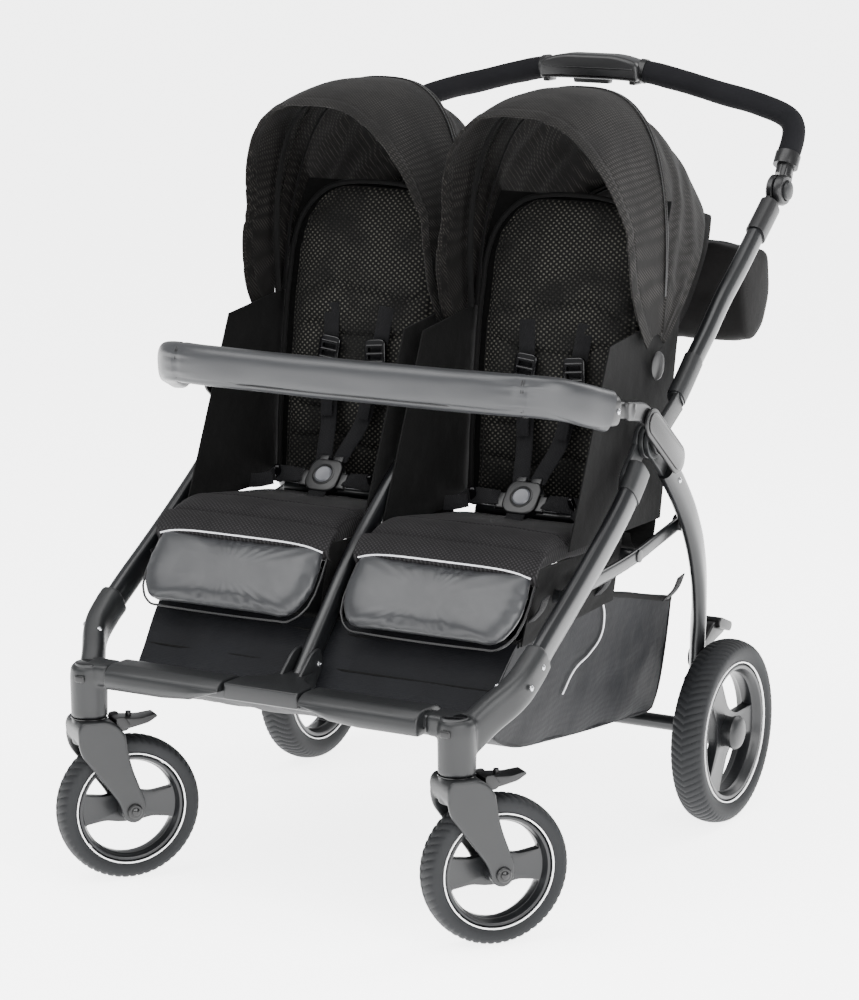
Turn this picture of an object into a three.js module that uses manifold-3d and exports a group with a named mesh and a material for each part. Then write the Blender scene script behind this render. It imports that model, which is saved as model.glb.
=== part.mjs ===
// Side-by-side twin stroller with four wheels, two swivelling in front, and a book-style folding frame.
// Millimetres, +Z up. The stroller faces -Y, and left and right are as seen from in front of it.
// Its origin is on the floor, under the middle of its bounding box.
import * as THREE from "three";
import { mergeVertices } from "three/addons/utils/BufferGeometryUtils.js";
import Module from "manifold-3d";

const wasm = await Module();
wasm.setup();

// Clearances
const touchGap = 0.4; // between pieces that rest on each other
const runningGap = 0.8; // between pieces that move past each other

// Frame planes, measured from the middle plane and the floor
const tubePlane = 333; // middle of the side, handle and rear tubes
const tubeWidth = 22; // across those tubes
const sideTubeDepth = 40;
const handleTubeDepth = 30;
const legTubeDepth = 38;
const foldAxis = { y: 45, z: 598 }; // main joint
const lugRadius = 24;
const pinRadius = 5;
const lugThickness = 7.5;

// Front wheels and casters
const casterTrack = 286; // half the distance between the swivel axes
const casterY = -414;
const casterSteer = THREE.MathUtils.degToRad(38); // both casters stand turned
const casterTrail = 52.5;
const frontWheelRadius = 101;
const frontTyreWidth = 42;
const stemRadius = 11;
const stemTop = 280;
const forkTop = 232.6;
const forkArmThickness = 8;
const housingRadius = 25;
const housingTop = 293;

// Rear wheels and axle
const rearTrack = 345; // half the distance between the wheel centres
const rearAxleY = 276;
const rearWheelRadius = 134;
const rearTyreWidth = 48;
const axleTubeRadius = 11;
const spindleRadius = 6;
const axleTubeHalf = 318;
const legFootX = 305;

const rimShare = 0.745; // a rim's radius as a share of its wheel's radius

// Seats, backrests and leg rests
const seatCentre = 160;
const seatHalfWidth = 143;
const backHalfWidth = 131;
const backThickness = 32;
const calfHalfWidth = 142;
const calfThickness = 28;
const calfPivot = { y: -209, z: 450 };
const backPivot = { y: 86, z: 466 };

// Canopies
const canopyAxis = { y: 105, z: 692 };
const canopyHalfWidth = 156;
const canopyRadius = 378;
const canopyThickness = 3;
const canopyNest = 2.4; // room between the front shell and the rear shell inside it
const canopyRoundness = 2.7; // exponent of the hoop's arch
const canopyFront = 115; // degrees from +Y, leaning forward
const canopySplit = 76;
const canopyBack = 34;

// Bumper bar
const bumperHalf = 271; // half the straight stretch
const bumperY = -206;
const bumperZ = 692;
const bumperEnd = { x: 338, y: -101, z: 663 };
const bumperHeight = 56;
const bumperDepth = 36;

// Handle
const gripAxis = { y: 461, z: 900 };
const gripTubeRadius = 9;
const foamRadius = 17;
const gripDiscRadius = 22;
const gripHousing = { length: 160, height: 36, depth: 42 };
const gripButton = { length: 62, depth: 16, stickOut: 5 };

const colours = {
  darkFrame: ["#3b3c3e", 0.35, 0.85],
  greyPlastic: ["#4a4b4d", 0.5, 0.1],
  blackPlastic: ["#1c1c1e", 0.4, 0.0],
  tyreRubber: ["#3a3a3c", 0.85, 0.0],
  foam: ["#202022", 0.95, 0.0],
  leatherette: ["#57585b", 0.5, 0.0],
  charcoalFabric: ["#2b2b2d", 0.9, 0.0],
  meshFabric: ["#232325", 0.95, 0.0],
  hoodFabric: ["#1b1a1b", 0.95, 0.0],
  basketFabric: ["#19191b", 0.95, 0.0],
  buckleGrey: ["#6b6c6f", 0.45, 0.0],
};

function material(name) {
  const [color, roughness, metalness] = colours[name];
  return new THREE.MeshStandardMaterial({ color, roughness, metalness });
}

function named(name, geometry, finish) {
  const mesh = new THREE.Mesh(geometry, material(finish));
  mesh.name = name;
  return mesh;
}

// A closed geometry as a solid that can be joined and cut.
function solidOf(geometry) {
  const bare = geometry.clone();
  bare.deleteAttribute("normal");
  bare.deleteAttribute("uv");
  const merged = mergeVertices(bare, 1e-4);
  return new wasm.Manifold(
    new wasm.Mesh({
      numProp: 3,
      vertProperties: merged.attributes.position.array,
      triVerts: new Uint32Array(merged.index.array),
    }),
  );
}

function geometryOf(solid) {
  const mesh = solid.getMesh();
  const geometry = new THREE.BufferGeometry();
  geometry.setAttribute("position", new THREE.BufferAttribute(mesh.vertProperties, 3));
  geometry.setIndex(new THREE.BufferAttribute(mesh.triVerts, 1));
  const flat = geometry.toNonIndexed();
  flat.computeVertexNormals();
  return flat;
}

function joined(...geometries) {
  return geometryOf(geometries.map(solidOf).reduce((whole, next) => whole.add(next)));
}

function shared(a, b) {
  return geometryOf(solidOf(a).intersect(solidOf(b)));
}

function cut(geometry, ...tools) {
  return geometryOf(tools.map(solidOf).reduce((whole, tool) => whole.subtract(tool), solidOf(geometry)));
}

// A cylinder along X from one x to another.
function rodX(radius, fromX, toX, y, z, sides = 10) {
  const geometry = new THREE.CylinderGeometry(radius, radius, Math.abs(toX - fromX), sides);
  geometry.rotateZ(Math.PI / 2);
  return geometry.translate((fromX + toX) / 2, y, z);
}

function rodZ(radius, x, y, fromZ, toZ, sides = 16) {
  const geometry = new THREE.CylinderGeometry(radius, radius, toZ - fromZ, sides);
  geometry.rotateX(Math.PI / 2);
  return geometry.translate(x, y, (fromZ + toZ) / 2);
}

function block(sizeX, sizeY, sizeZ, x, y, z) {
  return new THREE.BoxGeometry(sizeX, sizeY, sizeZ).translate(x, y, z);
}

function ovalShape(width, depth, sides) {
  const points = Array.from({ length: sides }, (_, i) => {
    const angle = (i / sides) * Math.PI * 2;
    return new THREE.Vector2((Math.cos(angle) * width) / 2, (Math.sin(angle) * depth) / 2);
  });
  return new THREE.Shape(points);
}

function curveOf(points) {
  return new THREE.CatmullRomCurve3(points.map((p) => new THREE.Vector3(...p)), false, "centripetal");
}

// A tube or bar of oval section along a curve; width is across the curve's plane.
function bar(points, width, depth, steps, sides = 10) {
  const section = ovalShape(width, depth, sides);
  return new THREE.ExtrudeGeometry(section, { extrudePath: curveOf(points), steps, bevelEnabled: false });
}

// A side profile of [y, z] points, from one x to another.
function plateX(outline, fromX, toX, bevel = 0) {
  const shape = new THREE.Shape(outline.map(([y, z]) => new THREE.Vector2(y, z)));
  const geometry = new THREE.ExtrudeGeometry(shape, {
    depth: toX - fromX - 2 * bevel,
    bevelEnabled: bevel > 0,
    bevelSize: bevel,
    bevelOffset: -bevel,
    bevelThickness: bevel,
    bevelSegments: 2,
    curveSegments: 8,
  });
  geometry.translate(0, 0, fromX + bevel);
  // The shape's x becomes Y, its y becomes Z and its depth becomes X.
  return geometry.applyMatrix4(new THREE.Matrix4().makeBasis(
    new THREE.Vector3(0, 1, 0),
    new THREE.Vector3(0, 0, 1),
    new THREE.Vector3(1, 0, 0),
  ));
}

// A straight link with round ends between two [y, z] points.
function linkX(from, to, radius, fromX, toX) {
  const direction = Math.atan2(to[1] - from[1], to[0] - from[0]);
  const shape = new THREE.Shape();
  shape.absarc(from[0], from[1], radius, direction + Math.PI / 2, direction + 1.5 * Math.PI, false);
  shape.absarc(to[0], to[1], radius, direction - Math.PI / 2, direction + Math.PI / 2, false);
  return plateX(shape.getPoints(3).map((p) => [p.x, p.y]), fromX, toX);
}

function polar(centre, radius, degrees) {
  const angle = THREE.MathUtils.degToRad(degrees);
  return [centre.y + radius * Math.cos(angle), centre.z + radius * Math.sin(angle)];
}

// Layers of the main joint, from the inside out. Each is one lug thick.
const jointStart = 318;
function jointLayer(index) {
  const from = jointStart + index * (lugThickness + runningGap);
  return [from, from + lugThickness];
}
const postLayer = [jointStart - 0.6, jointStart + 3.8];
const [frameLayer, legLayer, handleLayer, bumperLayer, coverLayer] = [0, 1, 2, 3, 4].map(jointLayer);

// A tube's flat end lug, which reaches from the tube to the main joint.
function foldLug(layer, tubePoint) {
  const centre = [foldAxis.y, foldAxis.z];
  const lug = linkX(centre, tubePoint, lugRadius * 0.6, layer[0], layer[1]);
  const disc = rodX(lugRadius, layer[0], layer[1], foldAxis.y, foldAxis.z, 14);
  return cut(joined(lug, disc), rodX(pinRadius + runningGap, layer[0] - 2, layer[1] + 2, foldAxis.y, foldAxis.z));
}

// Front frame
const sideTubePath = [
  [-322, 334],
  [-262, 375],
  [-190, 418],
  [-116, 464],
  [-45, 512],
  [-12, 540],
];
const sideTubeSteps = 7;
const centreTubePath = [
  [-352, 279],
  [-318, 316],
  [-253, 382],
  [-194, 441],
  [-131, 491],
  [-60, 543],
  [4, 578],
];

function atX(x, path) {
  return path.map(([y, z]) => [x, y, z]);
}

function sideTube() {
  const tube = bar(atX(tubePlane, sideTubePath), tubeWidth, sideTubeDepth, sideTubeSteps);
  const lug = foldLug(frameLayer, sideTubePath.at(-2));
  const canopyPost = linkX([foldAxis.y, foldAxis.z], [canopyAxis.y, canopyAxis.z], 11, ...postLayer);
  const pin = rodX(pinRadius, canopyOuterX - 10, postLayer[1] - 1, canopyAxis.y, canopyAxis.z, 12);
  const bore = rodX(pinRadius + runningGap, postLayer[0] - 2, frameLayer[1] + 2, foldAxis.y, foldAxis.z);
  return cut(joined(tube, lug, canopyPost, pin), bore);
}
const canopyOuterX = seatCentre + canopyHalfWidth;

// The moulded corner that holds the caster's stem, the side tube's end and the crossbar's end.
const cornerPath = [
  [casterTrack + 3, casterY + 6, 272],
  [casterTrack + 24, casterY + 46, 302],
  [tubePlane - 3, casterY + 86, 330],
  [tubePlane, casterY + 104, 342],
];
const crossbar = { y: casterY + 6, z: 298, width: 34, height: 20, half: casterTrack - 20 };

function casterHousing() {
  const barrel = rodZ(housingRadius, casterTrack, casterY, forkTop + touchGap, housingTop, 20);
  const arm = bar(cornerPath, 31, 46, 6, 12);
  const boss = block(40, crossbar.width + 8, crossbar.height + 12, casterTrack - 24, crossbar.y, crossbar.z - 8);
  const stemBore = rodZ(stemRadius + runningGap, casterTrack, casterY, forkTop - 10, stemTop + 1);
  const tubeSocket = bar(
    atX(tubePlane, sideTubePath),
    tubeWidth + 2 * touchGap,
    sideTubeDepth + 2 * touchGap,
    sideTubeSteps,
  );
  const barSocket = block(
    2 * crossbar.half + 2 * touchGap,
    crossbar.width + 2 * touchGap,
    crossbar.height + 2 * touchGap,
    0,
    crossbar.y,
    crossbar.z,
  );
  return cut(joined(barrel, arm, boss), stemBore, tubeSocket, barSocket);
}

function frontCrossbar() {
  return block(2 * crossbar.half, crossbar.width, crossbar.height, 0, crossbar.y, crossbar.z);
}

// Moulded foot tread that wraps the outer half of the crossbar.
const treadInner = 62;
const treadOuter = crossbar.half - 24;
function footTread() {
  const outline = [
    [-30, -17],
    [26, -17],
    [34, -6],
    [34, 6],
    [22, 15],
    [-20, 17],
    [-34, 8],
    [-36, -8],
  ].map(([y, z]) => [crossbar.y + y, crossbar.z + z]);
  const whole = plateX(outline, treadInner, treadOuter, 3);
  const bore = block(
    400,
    crossbar.width + 2 * touchGap,
    crossbar.height + 2 * touchGap,
    200,
    crossbar.y,
    crossbar.z,
  );
  return cut(whole, bore);
}

// Bracket that ties the centre tube to the crossbar and forms the middle foot plate.
function centreBracket() {
  const plateTop = crossbar.z + crossbar.height / 2 + 6;
  const back = casterY + 92;
  const shape = new THREE.Shape();
  shape.moveTo(-treadInner + 4, crossbar.y - 26);
  shape.lineTo(treadInner - 4, crossbar.y - 26);
  shape.lineTo(treadInner - 8, crossbar.y + 24);
  shape.quadraticCurveTo(24, crossbar.y + 40, 20, back);
  shape.lineTo(-20, back);
  shape.quadraticCurveTo(-24, crossbar.y + 40, -treadInner + 8, crossbar.y + 24);
  shape.closePath();
  const plate = new THREE.ExtrudeGeometry(shape, { depth: 32, bevelEnabled: false, curveSegments: 6 });
  plate.translate(0, 0, plateTop - 32);
  const bore = block(
    400,
    crossbar.width + 2 * touchGap,
    crossbar.height + 2 * touchGap,
    0,
    crossbar.y,
    crossbar.z,
  );
  return cut(plate, bore, centreTubeGeometry(2 * touchGap));
}

const centreTubeWidth = 20;
const centreTubeDepth = 30;
function centreTubeGeometry(extra = 0) {
  return bar(atX(0, centreTubePath), centreTubeWidth + extra, centreTubeDepth + extra, 8, 8);
}

// Middle joint block at the top of the centre tube, with a post up to the canopies' inner pivots.
const centreHubHalf = 9;
function centreHub() {
  const postHalf = seatCentre - canopyHalfWidth - runningGap;
  const hub = rodX(28, -centreHubHalf, centreHubHalf, foldAxis.y - 8, foldAxis.z, 20);
  const post = linkX([foldAxis.y - 8, foldAxis.z], [canopyAxis.y, canopyAxis.z], 12, -postHalf, postHalf);
  const reach = canopyOuterX - 2 * canopyHalfWidth + 10;
  const pin = rodX(pinRadius, -reach, reach, canopyAxis.y, canopyAxis.z, 12);
  return cut(joined(hub, post, pin), centreTubeGeometry(2 * touchGap));
}

// Seat base: a cross tube under both seats, with a side arm each side whose hook meets the rear leg.
const seatFrame = { y: 52, z: 433, radius: 9, half: 318, armX: 312, armEnd: 188 };
function seatBaseFrame() {
  const cross = rodX(seatFrame.radius, -seatFrame.half, seatFrame.half, seatFrame.y, seatFrame.z, 12);
  const arms = [-1, 1].map((side) => {
    const arm = linkX([seatFrame.y, seatFrame.z], [seatFrame.armEnd, seatFrame.z + 22], 10, 0, 8);
    return arm.translate(side * seatFrame.armX - 4, 0, 0);
  });
  const front = rodX(seatFrame.radius, -seatFrame.half, seatFrame.half, -150, 414, 12);
  const rails = [-1, 1].map((side) => {
    const rail = linkX([-150, 414], [seatFrame.y, seatFrame.z], 8, 0, 8);
    return rail.translate(side * seatFrame.armX - 4, 0, 0);
  });
  return joined(cross, front, ...arms, ...rails);
}

// Seats and backrests
const seatTop = [
  [-206, 474],
  [-186, 492],
  [-145, 500],
  [-80, 488],
  [0, 476],
  [52, 471],
];
const seatUnder = [
  [52, 447],
  [-60, 450],
  [-160, 458],
  [-204, 462],
];
function seat() {
  return plateX([...seatUnder, ...seatTop], seatCentre - seatHalfWidth, seatCentre + seatHalfWidth, 6);
}

const backTop = 916;
const backShoulder = 838;
const backFace = [
  [73, 487],
  [84, 600],
  [102, 748],
  [124, 850],
  [146, 915],
];
function backrest() {
  const rear = backFace.map(([y, z]) => [y + backThickness, z - 4]).reverse();
  const outline = [...rear, ...backFace];
  const block = plateX(outline, seatCentre - backHalfWidth, seatCentre + backHalfWidth, 6);
  const arch = new THREE.Shape();
  arch.moveTo(-backHalfWidth - 5, 400);
  arch.lineTo(backHalfWidth + 5, 400);
  arch.lineTo(backHalfWidth + 5, backShoulder);
  arch.quadraticCurveTo(backHalfWidth - 4, backTop, backHalfWidth - 54, backTop + 2);
  arch.lineTo(-backHalfWidth + 54, backTop + 2);
  arch.quadraticCurveTo(-backHalfWidth + 4, backTop, -backHalfWidth - 5, backShoulder);
  arch.closePath();
  const silhouette = new THREE.ExtrudeGeometry(arch, { depth: 400, bevelEnabled: false, curveSegments: 5 });
  silhouette.rotateX(Math.PI / 2).translate(seatCentre, 300, 0);
  return shared(block, silhouette);
}

function backRod() {
  return rodX(7, seatCentre - 118, seatCentre + 118, backPivot.y, backPivot.z, 14);
}

// Leg rest: a pad with round lower corners that slopes forward and down from the seat's front edge.
const calfLength = 114;
const calfSlope = 50;
function calfPad() {
  const half = calfHalfWidth;
  const shape = new THREE.Shape();
  shape.moveTo(-half, 4);
  shape.lineTo(-half * 0.99, calfLength * 0.6);
  shape.quadraticCurveTo(-half * 0.96, calfLength, -half * 0.66, calfLength);
  shape.lineTo(half * 0.66, calfLength);
  shape.quadraticCurveTo(half * 0.96, calfLength, half * 0.99, calfLength * 0.6);
  shape.lineTo(half, 4);
  shape.closePath();
  const pad = new THREE.ExtrudeGeometry(shape, {
    depth: calfThickness - 12,
    bevelEnabled: true,
    bevelSize: 6,
    bevelOffset: -6,
    bevelThickness: 6,
    bevelSegments: 2,
    curveSegments: 5,
  });
  // Down the pad is shape +y, and its face looks up and forward.
  const slope = THREE.MathUtils.degToRad(calfSlope);
  const down = new THREE.Vector3(0, -Math.cos(slope), -Math.sin(slope));
  const face = new THREE.Vector3(0, -Math.sin(slope), Math.cos(slope));
  const across = new THREE.Vector3().crossVectors(down, face);
  pad.applyMatrix4(new THREE.Matrix4().makeBasis(across, down, face));
  return pad.translate(seatCentre, calfPivot.y, calfPivot.z);
}

// Harness buckle held up by its straps, its face to the front, and its round release button.
const buckleTilt = THREE.MathUtils.degToRad(48);
const buckle = { y: 2, z: 498, size: 54, thickness: 16, buttonRadius: 13 };
function buckleBody() {
  const body = new THREE.CylinderGeometry(buckle.size / 2, buckle.size / 2 + 2, buckle.thickness, 8);
  body.rotateX(Math.PI / 2);
  body.rotateZ(Math.PI / 8);
  const pocket = rodZ(buckle.buttonRadius + runningGap, 0, 0, buckle.thickness / 2 - 8, buckle.thickness, 14);
  return cut(body, pocket);
}
function buckleButton() {
  return rodZ(buckle.buttonRadius, 0, 0, buckle.thickness / 2 - 4, buckle.thickness / 2 + 3, 14);
}

// Low down, the front edge of the side panels reaches further forward than the hoop.
function frontEdge(radius, degrees) {
  return degrees === canopyFront ? degrees + Math.max(0, 205 - radius) * 0.2 : degrees;
}

// A canopy shell: the hoop's arch turned about the canopy's axis between two angles.
function canopyShell(halfWidth, radius, fromDegrees, toDegrees, steps) {
  const count = 12;
  const arch = (inset) =>
    Array.from({ length: count + 1 }, (_, i) => {
      const angle = 0.03 + (i / count) * (Math.PI - 0.06);
      const power = 2 / canopyRoundness;
      const across = Math.sign(Math.cos(angle)) * Math.abs(Math.cos(angle)) ** power;
      return [(halfWidth - inset) * across, (radius - inset) * Math.sin(angle) ** power];
    });
  const loop = [...arch(0), ...arch(canopyThickness).reverse()];
  const positions = [];
  for (let step = 0; step <= steps; step++) {
    for (const [x, r] of loop) {
      const degrees = THREE.MathUtils.lerp(fromDegrees, frontEdge(r, toDegrees), step / steps);
      positions.push(seatCentre + x, ...polar(canopyAxis, r, degrees));
    }
  }
  const size = loop.length;
  const faces = [];
  for (let step = 0; step < steps; step++)
    for (let i = 0; i < size; i++) {
      const a = step * size + i;
      const b = step * size + ((i + 1) % size);
      faces.push(a, b, b + size, a, b + size, a + size);
    }
  const last = steps * size;
  for (let i = 0; i < count; i++) {
    const j = size - 1 - i;
    faces.push(i, j, j - 1, i, j - 1, i + 1);
    faces.push(last + i, last + j - 1, last + j, last + i, last + i + 1, last + j - 1);
  }
  const geometry = new THREE.BufferGeometry();
  geometry.setAttribute("position", new THREE.Float32BufferAttribute(positions, 3));
  geometry.setIndex(faces);
  return geometry;
}

const canopyDiscRadius = 30;
function canopy(inset, fromDegrees, toDegrees, steps) {
  const half = canopyHalfWidth - inset;
  const shell = canopyShell(half, canopyRadius - inset, fromDegrees, toDegrees, steps);
  const discs = [-1, 1].map((side) => {
    const middle = seatCentre + side * (half - canopyThickness / 2 - 0.4);
    return rodX(canopyDiscRadius, middle - 1.2, middle + 1.2, canopyAxis.y, canopyAxis.z, 12);
  });
  const bore = rodX(pinRadius + runningGap, 0, 2 * seatCentre, canopyAxis.y, canopyAxis.z, 12);
  return cut(joined(shell, ...discs), bore);
}

// Basket: an open fabric tub under the seats, narrower at the bottom.
const basketOutline = [
  [-238, 366],
  [-322, 274],
  [-211, 216],
  [27, 182],
  [246, 158],
  [236, 330],
  [-30, 388],
];
const basketTopHalf = 286;
const basketBottomHalf = 236;
const basketWall = 5;
function tub(outline, grow, up) {
  const low = 150;
  const high = 390;
  const solid = plateX(outline, -1, 1);
  const position = solid.attributes.position;
  for (let i = 0; i < position.count; i++) {
    const share = THREE.MathUtils.clamp((position.getZ(i) - low) / (high - low), 0, 1);
    const half = THREE.MathUtils.lerp(basketBottomHalf, basketTopHalf, Math.sqrt(share)) + grow;
    position.setX(i, position.getX(i) * half);
    if (up && position.getZ(i) > 300) position.setZ(i, position.getZ(i) + up);
  }
  return solid;
}
function basket() {
  const inner = [
    [-232, 366],
    [-312, 276],
    [-208, 221.5],
    [27, 187.5],
    [240, 164],
    [230, 330],
    [-30, 388],
  ];
  return cut(tub(basketOutline, 0, 0), tub(inner, -basketWall, 60));
}

// Bumper bar and its two arms
function bumperPath() {
  const end = [bumperEnd.x, bumperEnd.y, bumperEnd.z];
  const bend = [bumperHalf + 36, bumperY + 34, bumperZ - 6];
  const right = [
    [bumperHalf * 0.5, bumperY - 3, bumperZ],
    [bumperHalf, bumperY + 8, bumperZ - 1],
    bend,
    end,
  ];
  const left = right.map(([x, y, z]) => [-x, y, z]).reverse();
  return [...left, [0, bumperY - 5, bumperZ], ...right];
}
const bumperSteps = 20;
function bumperBar() {
  return bar(bumperPath(), bumperHeight, bumperDepth, bumperSteps);
}
function bumperArm() {
  const from = [bumperEnd.y + 12, bumperEnd.z - 1];
  const socket = [foldAxis.y - 45, foldAxis.z + 49];
  const arm = linkX(from, socket, 13, ...bumperLayer);
  const knee = linkX(socket, [foldAxis.y, foldAxis.z], 16, ...bumperLayer);
  const disc = rodX(lugRadius - 2, bumperLayer[0], bumperLayer[1], foldAxis.y, foldAxis.z, 14);
  const pin = rodX(pinRadius + runningGap, bumperLayer[0] - 2, bumperLayer[1] + 2, foldAxis.y, foldAxis.z);
  return cut(joined(arm, knee, disc), pin, bar(bumperPath(), bumperHeight + 1, bumperDepth + 1, bumperSteps));
}

// Handle
const handleTubePath = [
  [124, 642],
  [170, 681],
  [221, 720],
  [273, 763],
  [333, 805],
  [389, 847],
  [430, 877],
];
function handleTube() {
  const tube = bar(atX(tubePlane, handleTubePath), tubeWidth, handleTubeDepth, 6);
  const clamp = bar(atX(tubePlane, handleTubePath.slice(-2)), tubeWidth + 8, handleTubeDepth + 8, 2);
  const lug = foldLug(handleLayer, handleTubePath[1]);
  const lift = linkX(handleTubePath.at(-1), [gripAxis.y, gripAxis.z], 15, tubePlane - 11, tubePlane - 1);
  const disc = rodX(gripDiscRadius, tubePlane - 11, tubePlane - 1, gripAxis.y, gripAxis.z, 16);
  const room = rodX(gripDiscRadius + 2, tubePlane - 1, tubePlane + 30, gripAxis.y, gripAxis.z, 16);
  const whole = joined(tube, clamp, lug, lift, disc);
  return cut(whole, room, rodX(pinRadius + runningGap, 300, 370, foldAxis.y, foldAxis.z));
}

const archSide = [
  [tubePlane, 480, 924],
  [tubePlane, 494, 946],
  [tubePlane - 3, 519, 972],
  [tubePlane - 14, 539, 990],
  [tubePlane - 36, 548, 1003],
  [255, 548, 1016],
  [201, 541, 1029],
  [138, 535, 1045],
  [76, 529, 1057],
];
function archPath() {
  const left = archSide.map(([x, y, z]) => [-x, y, z]);
  return [...left, [0, 524, 1062], ...archSide.toReversed()];
}
const archSteps = 28;
function archTube(extra = 0) {
  return bar(archPath(), 2 * gripTubeRadius + extra, 2 * gripTubeRadius + extra, archSteps, 8);
}
function handleArch() {
  const tube = archTube();
  const ends = [-1, 1].flatMap((side) => {
    const from = side > 0 ? tubePlane : -tubePlane - 11;
    const lug = linkX([archSide[0][1], archSide[0][2]], [gripAxis.y, gripAxis.z], 11, from, from + 11);
    const disc = rodX(gripDiscRadius, from, from + 11, gripAxis.y, gripAxis.z, 16);
    const button = rodX(7 + runningGap, side * (tubePlane + 3), side * (tubePlane + 20), gripAxis.y, gripAxis.z);
    return [cut(joined(lug, disc), button)];
  });
  return joined(tube, ...ends);
}

// Foam runs along the arch from beside the middle housing, round the corner and down.
function foamGrip() {
  const curve = curveOf(archPath());
  const from = 0.5 + (gripHousing.length / 2 + 2) / curve.getLength();
  const points = Array.from({ length: 13 }, (_, i) => curve.getPointAt(from + (i / 12) * (0.976 - from)).toArray());
  return cut(bar(points, 2 * foamRadius, 2 * foamRadius, 12, 9), archTube(2 * touchGap));
}

const gripCentre = { y: 524, z: 1060 };
function gripHousingGeometry() {
  const { length, height, depth } = gripHousing;
  const outline = ovalShape(depth, height, 16).getPoints().map((p) => [gripCentre.y + p.x, gripCentre.z + p.y]);
  const body = plateX(outline, -length / 2, length / 2, 5);
  const pocket = block(
    gripButton.length + 2 * runningGap,
    gripButton.depth + 2 * runningGap,
    10,
    0,
    gripCentre.y,
    gripCentre.z - height / 2,
  );
  return cut(body, archTube(2 * touchGap), pocket);
}
function foldButton() {
  const bottom = gripCentre.z - gripHousing.height / 2;
  return block(gripButton.length, gripButton.depth, 6, 0, gripCentre.y, bottom - gripButton.stickOut + 3);
}
function adjustButton() {
  const cap = rodX(14, tubePlane + 15, tubePlane + 21, gripAxis.y, gripAxis.z, 16);
  const stub = rodX(7, tubePlane + 7, tubePlane + 16, gripAxis.y, gripAxis.z, 12);
  return joined(cap, stub);
}

// Pouch that hangs behind the backrests from the handle tubes, open at the top.
function pouch() {
  const outline = [
    [462, 668],
    [505, 656],
    [552, 690],
    [568, 748],
    [556, 806],
    [446, 828],
  ];
  const pocket = [
    [468, 676],
    [504, 665],
    [544, 694],
    [560, 748],
    [549, 806],
    [549, 850],
    [453, 850],
    [453, 828],
  ];
  return cut(plateX(outline, -286, 286, 4), plateX(pocket, -278, 278));
}

// Rear frame
const legPath = [
  [tubePlane, 101, 551],
  [tubePlane, 144, 506],
  [tubePlane - 1, 184, 454],
  [tubePlane - 5, 217, 396],
  [tubePlane - 14, 245, 333],
  [legFootX + 4, 263, 271],
  [legFootX, 272, 205],
  [legFootX, rearAxleY, 166],
];
const footHalfWidth = 11;
function rearLeg() {
  const tube = bar(legPath, tubeWidth, legTubeDepth, 8);
  const lug = foldLug(legLayer, legPath[1].slice(1));
  const foot = linkX([rearAxleY, rearWheelRadius], [rearAxleY - 2, 180], 24, legFootX - footHalfWidth, legFootX + footHalfWidth);
  const bore = rodX(axleTubeRadius + touchGap, 200, 400, rearAxleY, rearWheelRadius);
  return cut(joined(tube, lug, foot), bore, rodX(pinRadius + runningGap, 300, 370, foldAxis.y, foldAxis.z));
}
function rearAxle() {
  const spindle = rearTrack + 12;
  return joined(
    rodX(axleTubeRadius, -axleTubeHalf, axleTubeHalf, rearAxleY, rearWheelRadius),
    rodX(spindleRadius, -spindle, spindle, rearAxleY, rearWheelRadius, 14),
  );
}
// Outer cover of the main joint, with the pin through all its lugs.
function jointCover() {
  const cover = linkX([foldAxis.y - 36, foldAxis.z + 32], [foldAxis.y + 44, foldAxis.z - 30], 21, ...coverLayer);
  return joined(cover, rodX(pinRadius, postLayer[0] + 1, coverLayer[0] + 1, foldAxis.y, foldAxis.z, 12));
}

// Brake pedal beside the right rear wheel
const pedalAxis = { y: 312, z: 226 };
const pedalX = [legFootX - 30, legFootX - 13];
function brakePedal() {
  const arm = linkX([pedalAxis.y, pedalAxis.z], [388, 262], 8, ...pedalX);
  const tread = plateX(
    [
      [368, 262],
      [404, 250],
      [408, 258],
      [372, 276],
    ],
    pedalX[0] - 20,
    pedalX[1] + 6,
    2,
  );
  return joined(arm, tread, rodX(7, pedalX[0] - 5, pedalX[1] + 2, pedalAxis.y, pedalAxis.z, 14));
}

// A tyre's closed ring profile, turned about X.
function tyre(radius, width, segments) {
  const half = width / 2;
  // The ring is faceted, so its flats, not its corners, clear the rim.
  const seat = (radius * rimShare + touchGap) / Math.cos(Math.PI / segments);
  const profile = [
    [seat, -half * 0.62],
    [seat + 5, -half * 0.86],
    [radius * 0.88, -half],
    [radius * 0.965, -half * 0.82],
    [radius, 0],
    [radius * 0.965, half * 0.82],
    [radius * 0.88, half],
    [seat + 5, half * 0.86],
    [seat, half * 0.62],
    [seat, -half * 0.62],
  ].map(([r, h]) => new THREE.Vector2(r, h));
  return new THREE.LatheGeometry(profile, segments).rotateZ(-Math.PI / 2);
}

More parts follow.
